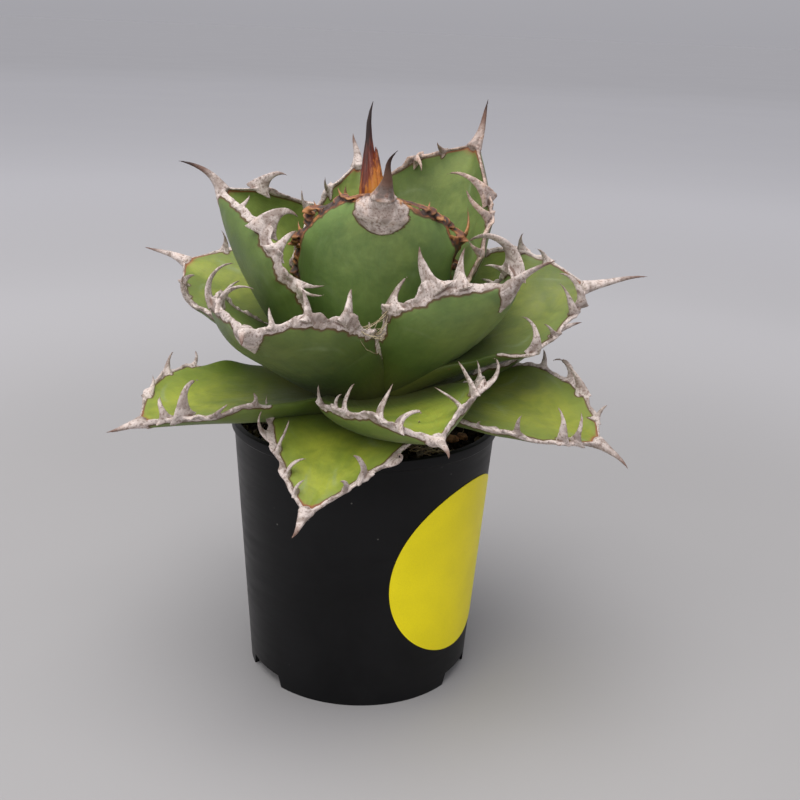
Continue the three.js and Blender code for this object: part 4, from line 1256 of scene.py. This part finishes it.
def soil_height(x, y):
    """Height of the soil's surface at a point measured from the pot's axis, in metres."""
    spread = math.hypot(x, y) / (RIM_RADIUS - 0.003)
    uneven = noise.fractal(Vector((x * 110, y * 110, 0.3)), 1.0, 2.0, 4)
    return SOIL_TOP - 0.0012 - 0.0022 * spread ** 2 + 0.0012 * uneven


def lay_grain(bm, place, turned, stretch, size, subdivisions, kind):
    """Add one grain to bm, with the material numbered kind. Returns its vertices."""
    matrix = Matrix.Translation(place) @ Euler(turned).to_matrix().to_4x4() @ Matrix.Diagonal(stretch)
    made = bmesh.ops.create_icosphere(bm, subdivisions=subdivisions, radius=size, matrix=matrix)["verts"]
    for face in {f for v in made for f in v.link_faces}:
        face.material_index = kind
    return made


class AGAVE_OT_soil(bpy.types.Operator):
    """Build the potting mix with its grains and dry roots"""
    bl_idname = "agave.soil"
    bl_label = "Soil"

    def execute(self, context):
        settings = context.scene.agave_soil
        rings = 40
        profile = [(SOIL_RADIUS * i / rings, 0, 0) for i in range(rings + 1)]
        profile += [(SOIL_RADIUS - 0.0008, 0, -SOIL_DEPTH), (0, 0, -SOIL_DEPTH)]
        bm = spun_profile(profile, 144)
        for v in bm.verts:
            v.co.z = soil_height(v.co.x, v.co.y) if v.co.z > -0.001 else SOIL_TOP - SOIL_DEPTH
        bmesh.ops.translate(bm, verts=bm.verts, vec=Vector(AXIS) * MM)
        mixed = soil_mix(settings)
        bed = ride_root(new_object("soil_bed", mesh_from(bm, "soil_bed"), mixed), "soil")
        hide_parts("soil")

        rng = random.Random(11)
        bm = bmesh.new()
        for _ in range(settings.grains):
            radius = SOIL_RADIUS * math.sqrt(rng.uniform(0.03, 0.96))
            angle = rng.uniform(0, FULL_TURN)
            x, y = radius * math.cos(angle), radius * math.sin(angle)
            kind = rng.choices([0, 1, 2], [0.45, 0.42, 0.13])[0]
            size = rng.uniform(0.0006, 0.0016) * (1.5 if kind == 2 else 1)
            stretch = (rng.uniform(0.7, 1.5), rng.uniform(0.7, 1.2), rng.uniform(0.5, 0.9), 1)
            turned = [rng.uniform(0, 6.28) for _ in range(3)]
            lay_grain(bm, (x, y, soil_height(x, y) + 0.3 * size), turned, stretch, size, 1, kind)
        for x, y, turn in BARK_CHIPS:
            place = (x, y, soil_height(x, y) + 0.0012)
            for v in lay_grain(bm, place, (0.3, 0.2, turn), BARK_CHIP, 1.0, 2, 3):
                v.co += Vector((0.3, 0.3, 0.3)) * 0.001 * noise.noise(v.co * 900)
        bmesh.ops.translate(bm, verts=bm.verts, vec=Vector(AXIS) * MM)
        grains = new_object("soil_grains", mesh_from(bm, "soil_grains"), smooth=False)
        ride_root(grains, "soil")
        for stuff in (grain_stuff("bark_grain", settings.bark_colour, settings.soil_colour, 700.0),
                      grain_stuff("dark_grain", (0.035, 0.03, 0.027), (0.012, 0.010, 0.009), 700.0),
                      grain_stuff("pumice_grain", settings.pumice_colour, (0.22, 0.16, 0.10), 900.0),
                      grain_stuff("bark_chip", (0.66, 0.36, 0.17), (0.30, 0.14, 0.06), 500.0)):
            grains.data.materials.append(stuff)

        bm = bmesh.new()
        for i in range(ROOTS):
            angle = rng.uniform(0, FULL_TURN)
            heading = angle + rng.uniform(1.0, 2.2)
            x, y = (rng.uniform(0.014, 0.036) * f for f in (math.cos(angle), math.sin(angle)))
            raised = 0.0
            if i >= FIRST_RIM_ROOT:
                x, y = 0.0132 + 0.0008 * (i - FIRST_RIM_ROOT), -0.033 + 0.001 * (i % 4)
                heading = rng.uniform(0.3, 0.8)
                raised = POT_HEIGHT - 0.002 - soil_height(x, y)
            points = []
            for _ in range(14):
                heading += rng.uniform(-0.35, 0.35)
                x += ROOT_STEP * math.cos(heading)
                y += ROOT_STEP * math.sin(heading)
                if math.hypot(x, y) < SOIL_RADIUS - 0.001:
                    points.append((x, y, soil_height(x, y) + raised + rng.uniform(0.0006, 0.0016)))
            if len(points) < 5:
                continue
            add_strand(bm, np.array(points) / MM, np.full(len(points), rng.uniform(0.13, 0.26)))
        root = grain_stuff("dry_root", (0.42, 0.34, 0.20), (0.22, 0.15, 0.08), 500.0)
        ride_root(new_object("dry_roots", mesh_from(bm, "dry_roots"), root), "soil")
        return {"FINISHED"}


class AGAVE_OT_stem(bpy.types.Operator):
    """Give the stem its fibrous finish"""
    bl_idname = "agave.stem"
    bl_label = "Stem"

    def execute(self, context):
        n = Nodes("fibrous_stem")
        stretched = n.add("ShaderNodeMapping", 0, Vector=n.place(), Scale=(1.0, 1.0, 0.2))
        fibres = n.noise(900.0, 5.0, 0.65, stretched)
        colour = n.blend(n.ramp(fibres, (0.35, 0.0), (0.65, 1.0)), (0.16, 0.11, 0.05), (0.42, 0.36, 0.2))
        material = n.finish(colour, n.ramp(fibres, (0.3, 0.7), (0.7, 0.9)), n.bump(fibres, 0.6, 0.0005))
        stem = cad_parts["stem"]
        stem.data.materials.clear()
        stem.data.materials.append(material)
        return {"FINISHED"}


class AGAVE_OT_stage(bpy.types.Operator):
    """Build the floor, the lights and the camera"""
    bl_idname = "agave.stage"
    bl_label = "Stage"

    def execute(self, context):
        settings = context.scene.agave_stage
        scene = context.scene
        bm = bmesh.new()
        bmesh.ops.create_grid(bm, x_segments=4, y_segments=4, size=settings.floor_size)
        n = Nodes("studio_floor")
        haze = n.noise(3.0, 4.0, 0.5)
        distance = n.add("ShaderNodeVectorMath", "Value", {"operation": "LENGTH"}, Vector=n.place())
        near = n.blend(n.ramp(haze, (0.3, 0.0), (0.7, 1.0)), tinted(settings.floor_colour, 0.96),
                       settings.floor_colour)
        # Painted light: the floor is painted lighter with distance from the pot, keeping the far floor bright
        # where the lamps' light falls off.
        far = n.ramp(n.math("DIVIDE", distance, 5.0), (0.04, 0.0), (0.12, 0.5), (0.26, 1.0), (0.6, 1.0),
                     (1.0, 0.8))
        colour = n.blend(far, near, settings.far_colour)
        surface_finish = n.finish(colour, n.ramp(haze, (0.3, 0.55), (0.7, 0.65)), Specular_IOR_Level=0.25)
        floor = new_object("studio_floor", mesh_from(bm, "studio_floor"), surface_finish)
        floor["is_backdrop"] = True

        world = bpy.data.worlds.new("studio_air")
        world.use_nodes = True
        nodes, links = world.node_tree.nodes, world.node_tree.links
        air = nodes["Background"]
        direction = nodes.new("ShaderNodeTexCoord")
        split = nodes.new("ShaderNodeSeparateXYZ")
        climb = nodes.new("ShaderNodeValToRGB")
        climb.color_ramp.elements[0].color = HORIZON_COLOUR
        climb.color_ramp.elements[1].position = 0.5
        climb.color_ramp.elements[1].color = SKY_COLOUR
        links.new(direction.outputs["Generated"], split.inputs[0])
        links.new(split.outputs[2], climb.inputs[0])
        links.new(climb.outputs[0], air.inputs["Color"])
        scene.world = world
        scene.view_settings.view_transform = "Standard"

        for name, place, power, colour in LIGHTS:
            light = bpy.data.lights.new(name, "AREA")
            light.size = LIGHT_SIZE
            light.energy = power
            light.color = colour
            lamp = bpy.data.objects.new(name, light)
            lamp.location = place
            aim = Vector(LIGHT_TARGET) - Vector(place)
            lamp.rotation_euler = aim.to_track_quat("-Z", "Y").to_euler()
            scene.collection.objects.link(lamp)

        data = bpy.data.cameras.new("camera")
        data.lens = settings.lens
        data.sensor_width = 36.0
        data.clip_start = 0.01
        data.clip_end = 200.0
        camera = bpy.data.objects.new("camera", data)
        stand = Vector(CAMERA_PLACE)
        ahead = (Vector(CAMERA_TARGET) - stand).normalized()
        level = Vector((1, 0, 0))
        tall = level.cross(ahead)
        roll = math.radians(CAMERA_ROLL)
        right = level * math.cos(roll) + tall * math.sin(roll)
        upward = tall * math.cos(roll) - level * math.sin(roll)
        camera.matrix_world = Matrix((
            (right.x, upward.x, -ahead.x, stand.x),
            (right.y, upward.y, -ahead.y, stand.y),
            (right.z, upward.z, -ahead.z, stand.z),
            (0, 0, 0, 1)))
        scene.collection.objects.link(camera)
        scene.camera = camera
        return {"FINISHED"}


class AGAVE_PT_panel(bpy.types.Panel):
    """Lists the steps that build the potted agave"""
    bl_idname = "AGAVE_PT_panel"
    bl_label = "Potted Agave"
    bl_space_type = "VIEW_3D"
    bl_region_type = "UI"
    bl_category = "Agave"

    def draw(self, context):
        for operator, settings in STEPS:
            box = self.layout.box()
            box.operator(operator.bl_idname)
            if settings:
                group = getattr(context.scene, settings)
                for key in group.bl_rna.properties.keys():
                    if key not in ("name", "rna_type"):
                        box.prop(group, key)


SETTINGS = (
    ("agave_leaf", LeafSettings), ("agave_horn", HornSettings), ("agave_bud", BudSettings),
    ("agave_pot", PotSettings), ("agave_label", LabelSettings), ("agave_soil", SoilSettings),
    ("agave_stage", StageSettings),
)
STEPS = (
    (AGAVE_OT_leaves, "agave_leaf"), (AGAVE_OT_horn, "agave_horn"), (AGAVE_OT_fibres, "agave_horn"),
    (AGAVE_OT_bud, "agave_bud"), (AGAVE_OT_stem, None), (AGAVE_OT_soil, "agave_soil"),
    (AGAVE_OT_pot, "agave_pot"), (AGAVE_OT_label, "agave_label"), (AGAVE_OT_stage, "agave_stage"),
)


def register():
    for name, group in SETTINGS:
        bpy.utils.register_class(group)
        setattr(bpy.types.Scene, name, PointerProperty(type=group))
    for operator, _ in STEPS:
        bpy.utils.register_class(operator)
    bpy.utils.register_class(AGAVE_PT_panel)


def unregister():
    bpy.utils.unregister_class(AGAVE_PT_panel)
    for operator, _ in reversed(STEPS):
        bpy.utils.unregister_class(operator)
    for name, group in reversed(SETTINGS):
        delattr(bpy.types.Scene, name)
        bpy.utils.unregister_class(group)


def main():
    register()
    bpy.ops.agave.leaves()
    bpy.ops.agave.horn()
    bpy.ops.agave.fibres()
    bpy.ops.agave.bud()
    bpy.ops.agave.stem()
    bpy.ops.agave.soil()
    bpy.ops.agave.pot()
    bpy.ops.agave.label()
    bpy.ops.agave.stage()
    sizes = {"cad": [list(corner) for corner in cad_bounds],
             "visual": [list(corner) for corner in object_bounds()]}


if __name__ == "__main__":
    main()
